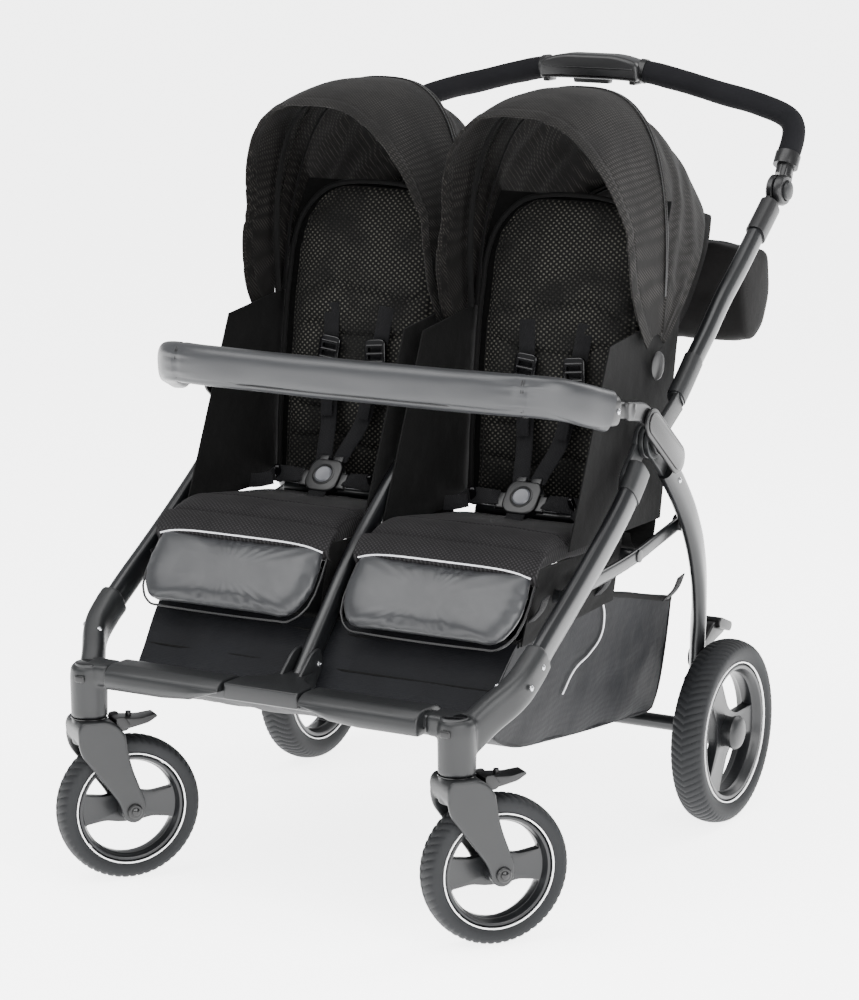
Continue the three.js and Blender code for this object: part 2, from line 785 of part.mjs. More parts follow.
// A wheel disc with windows between its wide spokes, a hub and a bore for its axle.
function rim(radius, tyreWidth, windows, spokeWidth, hubRadius, bore, hubHalf, blind) {
  const outer = radius * rimShare;
  const lip = outer - radius * 0.075;
  const disc = new THREE.Shape();
  disc.absarc(0, 0, outer, 0, Math.PI * 2, false);
  for (let i = 0; i < windows; i++) {
    const middle = ((i + 0.5) / windows) * Math.PI * 2;
    const spread = Math.PI / windows;
    const start = middle - spread + Math.asin(spokeWidth / 2 / lip);
    const end = middle + spread - Math.asin(spokeWidth / 2 / lip);
    const near = hubRadius + 5;
    const nearStart = middle - spread + Math.asin(Math.min(0.9, spokeWidth / 2 / near));
    const nearEnd = middle + spread - Math.asin(Math.min(0.9, spokeWidth / 2 / near));
    const hole = new THREE.Path();
    hole.absarc(0, 0, lip, start, end, false);
    hole.absarc(0, 0, near, nearEnd, nearStart, true);
    hole.closePath();
    disc.holes.push(hole);
  }
  const depth = tyreWidth * 0.5;
  const face = new THREE.ExtrudeGeometry(disc, { depth, bevelEnabled: false, curveSegments: 6 });
  face.translate(0, 0, -depth / 2).rotateY(Math.PI / 2);
  const hub = rodX(hubRadius, -hubHalf, hubHalf, 0, 0, 12);
  const hole = rodX(bore, -hubHalf - 1, blind ? hubHalf - 4 : hubHalf + 1, 0, 0, 10);
  return cut(joined(face, hub), hole);
}

// Caster fork: a crown over the wheel, an arm each side of it, the stem above and the axle across.
const forkInner = frontTyreWidth / 2 + 4;
function casterFork() {
  const crown = plateX(
    [
      [-23, forkTop - 26],
      [30, forkTop - 26],
      [26, forkTop - 8],
      [16, forkTop],
      [-20, forkTop],
      [-25, forkTop - 8],
    ],
    -forkInner - forkArmThickness,
    forkInner + forkArmThickness,
  );
  const arms = [-forkInner - forkArmThickness, forkInner].map((x) =>
    plateX(
      [
        [-23, forkTop - 25],
        [-16, forkTop - 46],
        [casterTrail - 17, frontWheelRadius - 4],
        [casterTrail - 8, frontWheelRadius - 15],
        [casterTrail + 8, frontWheelRadius - 15],
        [casterTrail + 16, frontWheelRadius],
        [casterTrail - 2, frontWheelRadius + 40],
        [30, forkTop - 25],
      ],
      x,
      x + forkArmThickness,
    ),
  );
  const stem = rodZ(stemRadius, 0, 0, forkTop - 12, stemTop, 14);
  const axle = rodX(spindleRadius, -forkInner - 10, forkInner + 10, casterTrail, frontWheelRadius, 14);
  return joined(crown, ...arms, stem, axle);
}

// Swivel lock lever behind the crown
const lockAxis = { y: 36, z: 222 };
function lockLever() {
  const outline = [
    [31, 214],
    [62, 216],
    [74, 222],
    [74, 230],
    [64, 236],
    [52, 228],
    [34, 228.5],
  ].map(([y, z]) => [y + 10, z]);
  return plateX(outline, -15, 15, 2);
}

// The whole stroller
function pair(group, make) {
  for (const [suffix, side] of [["left", -1], ["right", 1]]) {
    const half = new THREE.Group();
    half.scale.x = side;
    for (const mesh of make(suffix)) half.add(mesh);
    group.add(half);
  }
}

function wheel(name, side, x, y, radius, width, rimGeometry, segments) {
  const group = new THREE.Group();
  group.position.set(x, y, radius);
  group.add(named(`${name}_tyre_${side}`, tyre(radius, width, segments), "tyreRubber"));
  group.add(named(`${name}_rim_${side}`, rimGeometry, "blackPlastic"));
  return group;
}

function frame() {
  const group = new THREE.Group();
  group.add(named("front_crossbar", frontCrossbar(), "darkFrame"));
  group.add(named("centre_bracket", centreBracket(), "greyPlastic"));
  group.add(named("centre_tube", centreTubeGeometry(), "darkFrame"));
  group.add(named("centre_hub", centreHub(), "blackPlastic"));
  group.add(named("seat_base_frame", seatBaseFrame(), "darkFrame"));
  group.add(named("basket", basket(), "basketFabric"));
  pair(group, (side) => [
    named(`side_tube_${side}`, sideTube(), "darkFrame"),
    named(`caster_housing_${side}`, casterHousing(), "greyPlastic"),
    named(`foot_tread_${side}`, footTread(), "blackPlastic"),
  ]);
  return group;
}

function handle() {
  const group = new THREE.Group();
  group.add(named("handle_arch", handleArch(), "darkFrame"));
  group.add(named("grip_housing", gripHousingGeometry(), "blackPlastic"));
  group.add(named("fold_button", foldButton(), "greyPlastic"));
  group.add(named("rear_pouch", pouch(), "basketFabric"));
  pair(group, (side) => [
    named(`handle_tube_${side}`, handleTube(), "darkFrame"),
    named(`foam_grip_${side}`, foamGrip(), "foam"),
    named(`adjust_button_${side}`, adjustButton(), "greyPlastic"),
  ]);
  return group;
}

function rearFrame() {
  const group = new THREE.Group();
  group.add(named("rear_axle", rearAxle(), "darkFrame"));
  group.add(named("brake_pedal", brakePedal(), "blackPlastic"));
  pair(group, (side) => {
    const hubHalf = rearTyreWidth / 2 + 2;
    const rimShape = rim(rearWheelRadius, rearTyreWidth, 3, 30, 22, spindleRadius + runningGap, hubHalf, true);
    return [
      named(`rear_leg_${side}`, rearLeg(), "darkFrame"),
      named(`joint_cover_${side}`, jointCover(), "greyPlastic"),
      wheel("rear", side, rearTrack, rearAxleY, rearWheelRadius, rearTyreWidth, rimShape, 26),
    ];
  });
  return group;
}

function caster(side, x) {
  const group = new THREE.Group();
  group.position.set(x, casterY, 0);
  group.rotation.z = -casterSteer;
  group.add(named(`caster_fork_${side}`, casterFork(), "greyPlastic"));
  group.add(named(`lock_lever_${side}`, lockLever(), "blackPlastic"));
  const hubHalf = forkInner - 1.2;
  const rimShape = rim(frontWheelRadius, frontTyreWidth, 2, 26, 16, spindleRadius + runningGap, hubHalf, false);
  group.add(wheel("front", side, 0, casterTrail, frontWheelRadius, frontTyreWidth, rimShape, 22));
  return group;
}

function seats() {
  const group = new THREE.Group();
  pair(group, (side) => {
    const buckleGroup = new THREE.Group();
    buckleGroup.position.set(seatCentre, buckle.y, buckle.z + buckle.thickness / 2);
    buckleGroup.rotation.x = buckleTilt;
    buckleGroup.add(named(`buckle_${side}`, buckleBody(), "blackPlastic"));
    buckleGroup.add(named(`buckle_button_${side}`, buckleButton(), "buckleGrey"));
    return [
      named(`seat_${side}`, seat(), "charcoalFabric"),
      named(`calf_pad_${side}`, calfPad(), "leatherette"),
      named(`back_rod_${side}`, backRod(), "darkFrame"),
      named(`backrest_${side}`, backrest(), "meshFabric"),
      named(`canopy_front_${side}`, canopy(0, canopySplit, canopyFront, 4), "hoodFabric"),
      named(`canopy_rear_${side}`, canopy(canopyThickness + canopyNest, canopyBack, canopySplit + 4, 5), "hoodFabric"),
      buckleGroup,
    ];
  });
  return group;
}

function bumper() {
  const group = new THREE.Group();
  group.add(named("bumper_bar", bumperBar(), "leatherette"));
  pair(group, (side) => [named(`bumper_arm_${side}`, bumperArm(), "blackPlastic")]);
  return group;
}

const stroller = new THREE.Group();
stroller.add(frame(), handle(), rearFrame(), seats(), bumper());
stroller.add(caster("left", -casterTrack), caster("right", casterTrack));
const box = new THREE.Box3().setFromObject(stroller, true);
stroller.position.x = -(box.min.x + box.max.x) / 2;
stroller.position.y = -(box.min.y + box.max.y) / 2;

export default stroller;
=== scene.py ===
import math

import bpy
import numpy as np
from mathutils import Matrix, Vector, noise


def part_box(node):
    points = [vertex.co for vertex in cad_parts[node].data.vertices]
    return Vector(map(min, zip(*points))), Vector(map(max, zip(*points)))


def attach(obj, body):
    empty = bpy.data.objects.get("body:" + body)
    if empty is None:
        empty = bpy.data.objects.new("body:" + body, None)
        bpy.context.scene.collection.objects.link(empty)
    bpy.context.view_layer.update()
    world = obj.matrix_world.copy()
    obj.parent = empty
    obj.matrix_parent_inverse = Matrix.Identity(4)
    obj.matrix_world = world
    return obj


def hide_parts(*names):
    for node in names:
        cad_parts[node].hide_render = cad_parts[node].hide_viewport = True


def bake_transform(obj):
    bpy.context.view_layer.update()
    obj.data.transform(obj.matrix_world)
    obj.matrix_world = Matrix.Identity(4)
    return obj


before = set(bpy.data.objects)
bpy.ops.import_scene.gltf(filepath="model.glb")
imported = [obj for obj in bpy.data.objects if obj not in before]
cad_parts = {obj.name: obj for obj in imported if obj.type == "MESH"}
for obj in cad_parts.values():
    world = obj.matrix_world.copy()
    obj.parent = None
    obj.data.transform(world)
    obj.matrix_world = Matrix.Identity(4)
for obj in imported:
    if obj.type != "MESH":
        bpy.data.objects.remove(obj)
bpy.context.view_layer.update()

# Everything is modelled about the stroller's own middle, in metres, and moved into the frame at the end.
axleLow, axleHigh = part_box("rear_axle")
drawingAxleY = 0.276
inFrame = Vector(((axleLow[0] + axleHigh[0]) / 2, (axleLow[1] + axleHigh[1]) / 2 - drawingAxleY, 0))

# camera, floor and light
view = {
    "azimuth": 29.412,
    "elevation": 11.588,
    "distance": 5.0099,
    "height": 0.5,
    "lens": 128.0,
    "roll": 0.106,
    "shift": (0.0077, -0.0077),
}


def sphereDirection(azimuth, elevation):
    a, e = math.radians(azimuth), math.radians(elevation)
    return Vector((math.sin(a) * math.cos(e), -math.cos(a) * math.cos(e), math.sin(e)))


def makeCamera():
    data = bpy.data.cameras.new("camera")
    data.lens = view["lens"]
    data.shift_x, data.shift_y = view["shift"]
    data.clip_end = 200
    camera = bpy.data.objects.new("camera", data)
    bpy.context.collection.objects.link(camera)
    target = Vector((0, 0, view["height"])) + inFrame
    camera.location = target + sphereDirection(view["azimuth"], view["elevation"]) * view["distance"]
    turn = (target - camera.location).to_track_quat("-Z", "Y")
    camera.rotation_euler = (turn.to_matrix() @ Matrix.Rotation(math.radians(view["roll"]), 3,
        "Z")).to_euler()
    bpy.context.scene.camera = camera


makeCamera()


def linear(colour):
    # an sRGB hex colour as linear RGBA
    channels = [int(colour[i : i + 2], 16) / 255 for i in (1, 3, 5)]
    return [c / 12.92 if c <= 0.04045 else ((c + 0.055) / 1.055) ** 2.4 for c in channels] + [1.0]


studio = {
    "world": ("#f4f5f7", 0.8),
    "floor": "#f4f4f4",
    "glow": 4.6,
    "lights": [
        # name, azimuth, elevation, distance, width, height, watts
        ("key", -35, 48, 3.6, 2.4, 1.8, 95),
        ("fill", 62, 24, 3.8, 1.8, 2.4, 120),
        ("top", 10, 82, 3.2, 2.6, 2.2, 90),
        ("edge", 150, 35, 3.6, 1.2, 2.4, 70),
        ("front", 30, 16, 4.4, 2.6, 1.2, 110),
    ],
}


def makeStudio():
    world = bpy.data.worlds.new("studio")
    bpy.context.scene.world = world
    world.use_nodes = True
    background = world.node_tree.nodes["Background"]
    background.inputs["Color"].default_value = linear(studio["world"][0])
    background.inputs["Strength"].default_value = studio["world"][1]
    for name, azimuth, elevation, distance, width, height, watts in studio["lights"]:
        light = bpy.data.lights.new(name, "AREA")
        light.shape = "RECTANGLE"
        light.size, light.size_y = width, height
        light.energy = watts
        lamp = bpy.data.objects.new(name, light)
        bpy.context.collection.objects.link(lamp)
        target = Vector((0, 0, 0.45)) + inFrame
        lamp.location = target + sphereDirection(azimuth, elevation) * distance
        lamp.rotation_euler = (target - lamp.location).to_track_quat("-Z", "Y").to_euler()
    bpy.ops.mesh.primitive_plane_add(size=90)
    floor = bpy.context.object
    floor.name = "floor"
    paper = bpy.data.materials.new("paperBackdrop")
    paper.use_nodes = True
    shader = paper.node_tree.nodes["Principled BSDF"]
    shader.inputs["Base Color"].default_value = linear(studio["floor"])
    shader.inputs["Roughness"].default_value = 0.9
    shader.inputs["Specular IOR Level"].default_value = 0.1
    shader.inputs["Emission Color"].default_value = linear(studio["floor"])
    shader.inputs["Emission Strength"].default_value = studio["glow"]
    floor.data.materials.append(paper)


makeStudio()
print("camera, floor and lights")


def addNode(tree, kind, links=None, **settings):
    # adds a node, sets its properties, and fills or links its sockets
    made = tree.nodes.new(kind)
    for key, value in settings.items():
        setattr(made, key, value)
    for key, value in (links or {}).items():
        socket = made.inputs[key]
        if isinstance(value, bpy.types.NodeSocket):
            tree.links.new(value, socket)
        else:
            socket.default_value = value
    return made


def startMaterial(name, roughness, metallic=0.0, ior=1.5, sheen=0.0, coat=0.0, coatRoughness=0.2,
                  specular=0.35):
    material = bpy.data.materials.new(name)
    material.use_nodes = True
    shader = material.node_tree.nodes["Principled BSDF"]
    shader.inputs["Roughness"].default_value = roughness
    shader.inputs["Metallic"].default_value = metallic
    shader.inputs["IOR"].default_value = ior
    shader.inputs["Specular IOR Level"].default_value = specular
    shader.inputs["Sheen Weight"].default_value = sheen
    shader.inputs["Sheen Roughness"].default_value = 0.45
    shader.inputs["Coat Weight"].default_value = coat
    shader.inputs["Coat Roughness"].default_value = coatRoughness
    return material, material.node_tree, shader


def objectPlace(tree):
    return addNode(tree, "ShaderNodeTexCoord").outputs["Object"]


def mixColours(tree, factor, dark, light):
    # one colour where factor is 0, the other where it is 1
    mix = addNode(tree, "ShaderNodeMix", data_type="RGBA")
    tree.links.new(factor, mix.inputs["Factor"])
    mix.inputs[6].default_value = linear(dark)
    mix.inputs[7].default_value = linear(light)
    return mix.outputs[2]


def grain(tree, place, millimetres, detail=3.0):
    return addNode(
        tree, "ShaderNodeTexNoise", {"Vector": place, "Scale": 1000 / millimetres, "Detail": detail}
    ).outputs["Fac"]


def moulded(name, dark, light, roughness, speckle, bump, **rest):
    # one moulded or painted surface: slow colour drift, a fine texture in roughness and height
    material, tree, shader = startMaterial(name, roughness, **rest)
    place = objectPlace(tree)
    drift = grain(tree, place, 60, 2.0)
    fine = grain(tree, place, speckle, 2.0)
    tree.links.new(mixColours(tree, drift, dark, light), shader.inputs["Base Color"])
    spread = addNode(
        tree,
        "ShaderNodeMapRange",
        {"Value": fine, "To Min": roughness - 0.06, "To Max": roughness + 0.08},
    )
    tree.links.new(spread.outputs["Result"], shader.inputs["Roughness"])
    relief = addNode(tree, "ShaderNodeBump", {"Height": fine, "Strength": bump, "Distance": 0.0003})
    tree.links.new(relief.outputs["Normal"], shader.inputs["Normal"])
    return material


# powder coat on aluminium tube: satin, with a faint metallic orange peel 1.5 mm across
powderCoat = moulded("powderCoatedAluminium", "#0c0d0e", "#121315", 0.3, 1.5, 0.12, metallic=0.2, coat=0.15)
# glass-filled nylon: grey satin with a spark-eroded mould texture, 0.8 mm
filledNylon = moulded("glassFilledNylon", "#0e0f10", "#141516", 0.42, 0.8, 0.25)
# moulded ABS: near-black satin, fine mould texture
blackAbs = moulded("mouldedAbs", "#060607", "#0b0b0c", 0.34, 0.7, 0.15)
# polished acetal of the harness fittings: smooth and glossy
glossAcetal = moulded("polishedAcetal", "#040405", "#080809", 0.16, 2.0, 0.04)
# grey acetal button
greyAcetal = moulded("greyAcetal", "#4b4c50", "#5a5b5f", 0.3, 1.0, 0.08)
# rim plastic: satin dark grey
rimNylon = moulded("rimNylon", "#0c0d0e", "#121315", 0.32, 1.2, 0.12)
# EVA foam rubber tyre: dull with light dust in its 2 mm mottling
tyreRubber = moulded("foamRubberTyre", "#101112", "#18191b", 0.66, 2.0, 0.35, specular=0.2)
# closed-cell grip foam: deep black, no gloss
gripFoam = moulded("closedCellFoam", "#0e0e10", "#151517", 0.88, 1.1, 0.7, specular=0.08)
# pad printed white line on the wheel
whitePrint = moulded("whitePadPrint", "#dcdcdc", "#efefef", 0.45, 1.5, 0.05)
# polished steel rivets
rivetSteel = moulded("polishedRivetSteel", "#a9aaad", "#c2c3c6", 0.22, 2.0, 0.03, metallic=1.0)
# light reflective cord in the seams
paleCord = moulded("paleCordPiping", "#b9b9bd", "#d2d2d5", 0.5, 0.9, 0.3)
# glossy black vinyl cord in the seams
blackCord = moulded("vinylCordPiping", "#070708", "#0c0c0d", 0.3, 0.9, 0.1)


def makeLeatherette():
    # polyurethane leatherette: mid grey, 1.4 mm pebble grain with soft creases, satin
    material, tree, shader = startMaterial("polyurethaneLeatherette", 0.4, ior=1.48, sheen=0.02, specular=0.5)
    place = objectPlace(tree)
    drift = grain(tree, place, 90, 3.0)
    tree.links.new(mixColours(tree, drift, "#1a1b1d", "#242527"), shader.inputs["Base Color"])
    pebble = addNode(tree, "ShaderNodeTexVoronoi", {"Vector": place, "Scale": 1000 / 1.4},
                     feature="SMOOTH_F1")
    crease = grain(tree, place, 9, 4.0)
    both = addNode(tree, "ShaderNodeMath", {0: pebble.outputs["Distance"], 1: crease},
                   operation="MULTIPLY_ADD")
    both.inputs[2].default_value = 0.1
    relief = addNode(tree, "ShaderNodeBump",
                     {"Height": both.outputs[0], "Strength": 0.22, "Distance": 0.0004})
    tree.links.new(relief.outputs["Normal"], shader.inputs["Normal"])
    gloss = addNode(tree, "ShaderNodeMapRange", {"Value": crease, "To Min": 0.34, "To Max": 0.47})
    tree.links.new(gloss.outputs["Result"], shader.inputs["Roughness"])
    return material


leatherette = makeLeatherette()


def weave(tree, place, millimetres, diagonal=0.0):
    # two crossed ribs, as warp and weft
    turned = addNode(tree, "ShaderNodeMapping", {"Vector": place, "Rotation": (0, diagonal, diagonal)})
    ribs = []
    for direction in ("X", "Z"):
        wave = addNode(
            tree,
            "ShaderNodeTexWave",
            {"Vector": turned.outputs[0], "Scale": 314.16 / millimetres, "Distortion": 0.6, "Detail": 1.0},
            bands_direction=direction,
        )
        ribs.append(wave.outputs["Fac"])
    return addNode(tree, "ShaderNodeMath", {0: ribs[0], 1: ribs[1]}, operation="ADD").outputs[0]


def cloth(name, dark, light, thread, strength, roughness=0.85, sheen=0.02, diagonal=0.0):
    material, tree, shader = startMaterial(name, roughness, sheen=sheen, specular=0.12)
    place = objectPlace(tree)
    threads = weave(tree, place, thread, diagonal)
    drift = grain(tree, place, 70, 4.0)
    shade = addNode(tree, "ShaderNodeMath", {0: threads, 1: 0.22, 2: drift}, operation="MULTIPLY_ADD")
    shade.use_clamp = True
    tree.links.new(mixColours(tree, shade.outputs[0], dark, light), shader.inputs["Base Color"])
    relief = addNode(tree, "ShaderNodeBump", {"Height": threads, "Strength": strength, "Distance": 0.0004})
    soft = addNode(
        tree,
        "ShaderNodeBump",
        {"Height": grain(tree, place, 26, 3.0), "Strength": 0.3, "Distance": 0.004,
         "Normal": relief.outputs["Normal"]},
    )
    tree.links.new(soft.outputs["Normal"], shader.inputs["Normal"])
    return material


# plain weave polyester of the hoods, threads drawn at 1.6 mm so that they show
hoodCloth = cloth("hoodPolyester", "#040404", "#080707", 1.6, 0.25)
# coated polyester of the basket, tighter, with a dull sheen
basketCloth = cloth("coatedPolyester", "#050507", "#0c0d10", 1.8, 0.3, roughness=0.62)
# black lining of the seat sides
liningCloth = cloth("liningPolyester", "#030303", "#060606", 1.8, 0.3)
# harness webbing, 1.5 mm ribs on the slant
webbing = cloth("polyesterWebbing", "#060607", "#0d0d0f", 1.5, 0.9, roughness=0.6, diagonal=0.6)


def dotLattice(tree, place, across, down, radius, tilt):
    # 1 in dots in staggered rows, across and down millimetres apart, on a face tilted back by tilt
    level = addNode(tree, "ShaderNodeMapping", {"Vector": place, "Rotation": (math.radians(tilt), 0, 0)})
    squeezed = addNode(
        tree,
        "ShaderNodeMapping",
        {"Vector": level.outputs[0], "Scale": (1000 / across, 0.0, 1000 / down)},
    )
    turned = addNode(tree, "ShaderNodeMapping",
                     {"Vector": squeezed.outputs[0], "Rotation": (0, math.pi / 4, 0)})
    cells = addNode(
        tree,
        "ShaderNodeTexVoronoi",
        {"Vector": turned.outputs[0], "Scale": 1.0, "Randomness": 0.0},
        feature="F1",
    )
    edge = addNode(
        tree,
        "ShaderNodeMapRange",
        {"Value": cells.outputs["Distance"], "From Min": radius + 0.08, "From Max": radius - 0.08},
    )
    return edge.outputs["Result"]


def dottedCloth(name, dark, light, dots, lattice, strength, dotAmount, sheen=0.02):
    # cloth with raised pale dots over its ground
    material, tree, shader = startMaterial(name, 0.8, sheen=sheen, specular=0.12)
    place = objectPlace(tree)
    dot = dotLattice(tree, place, *lattice)
    patch = addNode(tree, "ShaderNodeMapRange",
                    {"Value": grain(tree, place, 55, 3.0), "From Min": 0.35, "From Max": 0.6})
    shown = addNode(tree, "ShaderNodeMath", {0: dot, 1: patch.outputs["Result"]}, operation="MULTIPLY")
    amount = addNode(tree, "ShaderNodeMath", {0: dot, 1: dotAmount}, operation="MULTIPLY")
    both = addNode(tree, "ShaderNodeMath", {0: shown.outputs[0], 1: 1 - dotAmount, 2: amount.outputs[0]},
                   operation="MULTIPLY_ADD")
    ground = mixColours(tree, grain(tree, place, 40, 4.0), dark, light)
    mix = addNode(tree, "ShaderNodeMix", data_type="RGBA")
    tree.links.new(both.outputs[0], mix.inputs["Factor"])
    tree.links.new(ground, mix.inputs[6])
    mix.inputs[7].default_value = linear(dots)
    tree.links.new(mix.outputs[2], shader.inputs["Base Color"])
    relief = addNode(tree, "ShaderNodeBump", {"Height": dot, "Strength": strength, "Distance": 0.0012})
    soft = addNode(
        tree,
        "ShaderNodeBump",
        {"Height": grain(tree, place, 30, 3.0), "Strength": 0.3, "Distance": 0.005,
         "Normal": relief.outputs["Normal"]},
    )
    tree.links.new(soft.outputs["Normal"], shader.inputs["Normal"])
    return material


# 3-D spacer mesh of the backrests: black with pale knots 6.4 mm apart in staggered rows
spacerMesh = dottedCloth("spacerMesh", "#050505", "#0a0a09", "#3f3e39", (6.4, 5.4, 0.24, 8), 0.8, 0.15)
# jacquard of the seats' front: charcoal with fine slanting dots, 4.6 mm apart
seatJacquard = dottedCloth("seatJacquard", "#0b0a0b", "#121112", "#242324", (4.6, 3.6, 0.3, 65), 0.5, 0.7)
# pierced mesh on the hoods' rear: dark brown-black with fine pale knots
hoodMesh = dottedCloth("hoodPiercedMesh", "#060505", "#0c0b0a", "#2c2a28", (3.6, 3.0, 0.22, 40), 0.4, 0.2)
print("finishes")


# Making and shaping. Lengths given to these are in millimetres, about the stroller's own middle.
def at(x, y, z):
    return Vector((x, y, z)) / 1000


def take(piece):
    bpy.ops.object.select_all(action="DESELECT")
    piece.select_set(True)
    bpy.context.view_layer.objects.active = piece
    return piece


def applied(piece, kind, **settings):
    # adds a modifier and applies it
    take(piece)
    modifier = piece.modifiers.new(kind.lower(), kind)
    for key, value in settings.items():
        setattr(modifier, key, value)
    bpy.ops.object.modifier_apply(modifier=modifier.name)
    return piece


def softened(piece, width, segments=3, angle=30):
    return applied(
        piece,
        "BEVEL",
        width=width / 1000,
        segments=segments,
        limit_method="ANGLE",
        angle_limit=math.radians(angle),
        use_clamp_overlap=True,
    )


def placed(piece, matrix):
    # moves the mesh itself, so the object stays at the origin
    piece.data.transform(matrix)
    return piece


def twin(piece, matrix=None):
    # a copy with its own mesh, mirrored across the middle unless it is given its own matrix
    copy = piece.copy()
    copy.data = piece.data.copy()
    bpy.context.collection.objects.link(copy)
    if matrix is None:
        copy.data.transform(Matrix.Scale(-1, 4, (1, 0, 0)))
        copy.data.flip_normals()
    else:
        copy.data.transform(matrix)
    return copy


def joined(*parts):
    bpy.ops.object.select_all(action="DESELECT")
    for part in parts:
        part.select_set(True)
    bpy.context.view_layer.objects.active = parts[0]
    bpy.ops.object.join()
    return parts[0]


def settle(piece, name, finish, body, *nodes, angle=35, slot=None):
    # the last step of each piece: into the frame's place, then its name, shading, finish and body
    take(piece)
    bpy.ops.object.transform_apply(location=True, rotation=True, scale=True)
    piece.data.transform(Matrix.Translation(inFrame))
    piece.name = name
    piece.data.name = name
    bpy.ops.object.shade_smooth_by_angle(angle=math.radians(angle))
    piece.data.materials.clear()
    piece.data.materials.append(finish)
    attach(piece, body)
    if nodes:
        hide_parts(*nodes)
    return piece


def settlePair(piece, name, finish, body, node=None, angle=35, slot=None, common=False):
    # a right-hand piece and its mirrored twin; body and node take each side's ending unless common is set
    other = twin(piece)
    made = []
    for part, side in ((piece, "right"), (other, "left")):
        nodes = [f"{node}_{side}"] if node else []
        onBody = body if common else f"{body}_{side}"
        made.append(settle(part, f"{name}_{side}", finish, onBody, *nodes, angle=angle, slot=slot))
    return made


def fromFaces(points, faces):
    mesh = bpy.data.meshes.new("shape")
    mesh.from_pydata([tuple(p) for p in points], [], faces)
    mesh.update()
    piece = bpy.data.objects.new("shape", mesh)
    bpy.context.collection.objects.link(piece)
    return piece


def outwards(piece):
    take(piece)
    bpy.ops.object.mode_set(mode="EDIT")
    bpy.ops.mesh.select_all(action="SELECT")
    bpy.ops.mesh.remove_doubles(threshold=0.00002)
    bpy.ops.mesh.normals_make_consistent(inside=False)
    bpy.ops.object.mode_set(mode="OBJECT")
    return piece


def loft(rings, capped=True):
    # quads between closed rings of the same length, with a face at each end
    count = len(rings[0])
    points = [p for ring in rings for p in ring]
    faces = []
    for r in range(len(rings) - 1):
        for i in range(count):
            j = (i + 1) % count
            faces.append((r * count + i, r * count + j, (r + 1) * count + j, (r + 1) * count + i))
    if capped:
        faces.append(tuple(reversed(range(count))))
        faces.append(tuple(range((len(rings) - 1) * count, len(rings) * count)))
    return outwards(fromFaces(points, faces))


def flowing(points, count, closed=False):
    # evenly spaced points on a smooth curve through the given ones
    points = [Vector(p) for p in points]
    last = len(points)
    spans = last if closed else last - 1
    dense = []
    for i in range(spans):
        if closed:
            a, b, c, d = (points[(i + k) % last] for k in (-1, 0, 1, 2))
        else:
            b, c = points[i], points[i + 1]
            a = points[i - 1] if i else b * 2 - c
            d = points[i + 2] if i + 2 < last else c * 2 - b
        for k in range(16):
            t = k / 16
            dense.append(
                0.5 * ((2 * b) + (c - a) * t + (2 * a - 5 * b + 4 * c - d) * t * t
                       + (3 * b - a - 3 * c + d) * t**3)
            )
    dense.append(points[0] if closed else points[-1])
    lengths = np.cumsum([0] + [(dense[i + 1] - dense[i]).length for i in range(len(dense) - 1)])
    wanted = np.linspace(0, lengths[-1], count + 1 if closed else count)
    made = []
    for w in wanted[:count]:
        i = min(int(np.searchsorted(lengths, w, side="right")) - 1, len(dense) - 2)
        span = lengths[i + 1] - lengths[i]
        made.append(dense[i].lerp(dense[i + 1], (w - lengths[i]) / span if span else 0))
    return made


def rounded(outline, radius, steps=5):
    # an outline of 2-D points with each corner turned into an arc
    made = []
    for i, corner in enumerate(outline):
        here = Vector(corner[:2])
        before, after = Vector(outline[i - 1][:2]), Vector(outline[(i + 1) % len(outline)][:2])
        size = corner[2] if len(corner) > 2 else radius
        back, on = (before - here), (after - here)
        reach = min(size, back.length * 0.49, on.length * 0.49)
        start, end = here + back.normalized() * reach, here + on.normalized() * reach
        for k in range(steps + 1):
            t = k / steps
            made.append(start * (1 - t) ** 2 + here * 2 * t * (1 - t) + end * t * t)
    return made


def tube(points, width, depth=None, corner=2.0, steps=6, sides=28):
    # a closed bar along a smooth line of millimetre points; width lies level, depth stands up from it
    depth = depth or width
    bpy.ops.curve.primitive_nurbs_path_add()
    line = bpy.context.object
    curve = line.data
    curve.splines.clear()
    spline = curve.splines.new("BEZIER")
    spline.bezier_points.add(len(points) - 1)
    for point, place in zip(spline.bezier_points, points):
        point.co = at(*place)
        point.handle_left_type = point.handle_right_type = "AUTO"
    bpy.ops.curve.primitive_bezier_circle_add()
    section = bpy.context.object
    section.data.splines.clear()
    ring = section.data.splines.new("POLY")
    ring.points.add(sides - 1)
    ring.use_cyclic_u = True
    for i, point in enumerate(ring.points):
        angle = 2 * math.pi * i / sides
        c, s = math.cos(angle), math.sin(angle)
        x = math.copysign(abs(c) ** (2 / corner), c) * width / 2000
        y = math.copysign(abs(s) ** (2 / corner), s) * depth / 2000
        point.co = (x, y, 0, 1)
    curve.bevel_mode = "OBJECT"
    curve.bevel_object = section
    curve.use_fill_caps = True
    curve.resolution_u = steps
    curve.twist_mode = "Z_UP"
    take(line)
    bpy.ops.object.convert(target="MESH")
    bpy.data.objects.remove(section)
    piece = bpy.context.object
    return outwards(piece)


def rod(start, end, radius, bevel=0.0, vertices=40):
    # a round bar from one point to another
    a, b = at(*start), at(*end)
    bpy.ops.mesh.primitive_cylinder_add(
        vertices=vertices,
        radius=radius / 1000,
        depth=(b - a).length,
        location=(a + b) / 2,
        rotation=(b - a).to_track_quat("Z", "Y").to_euler(),
    )
    piece = bpy.context.object
    bpy.ops.object.transform_apply(location=True, rotation=True, scale=True)
    return softened(piece, bevel) if bevel else piece


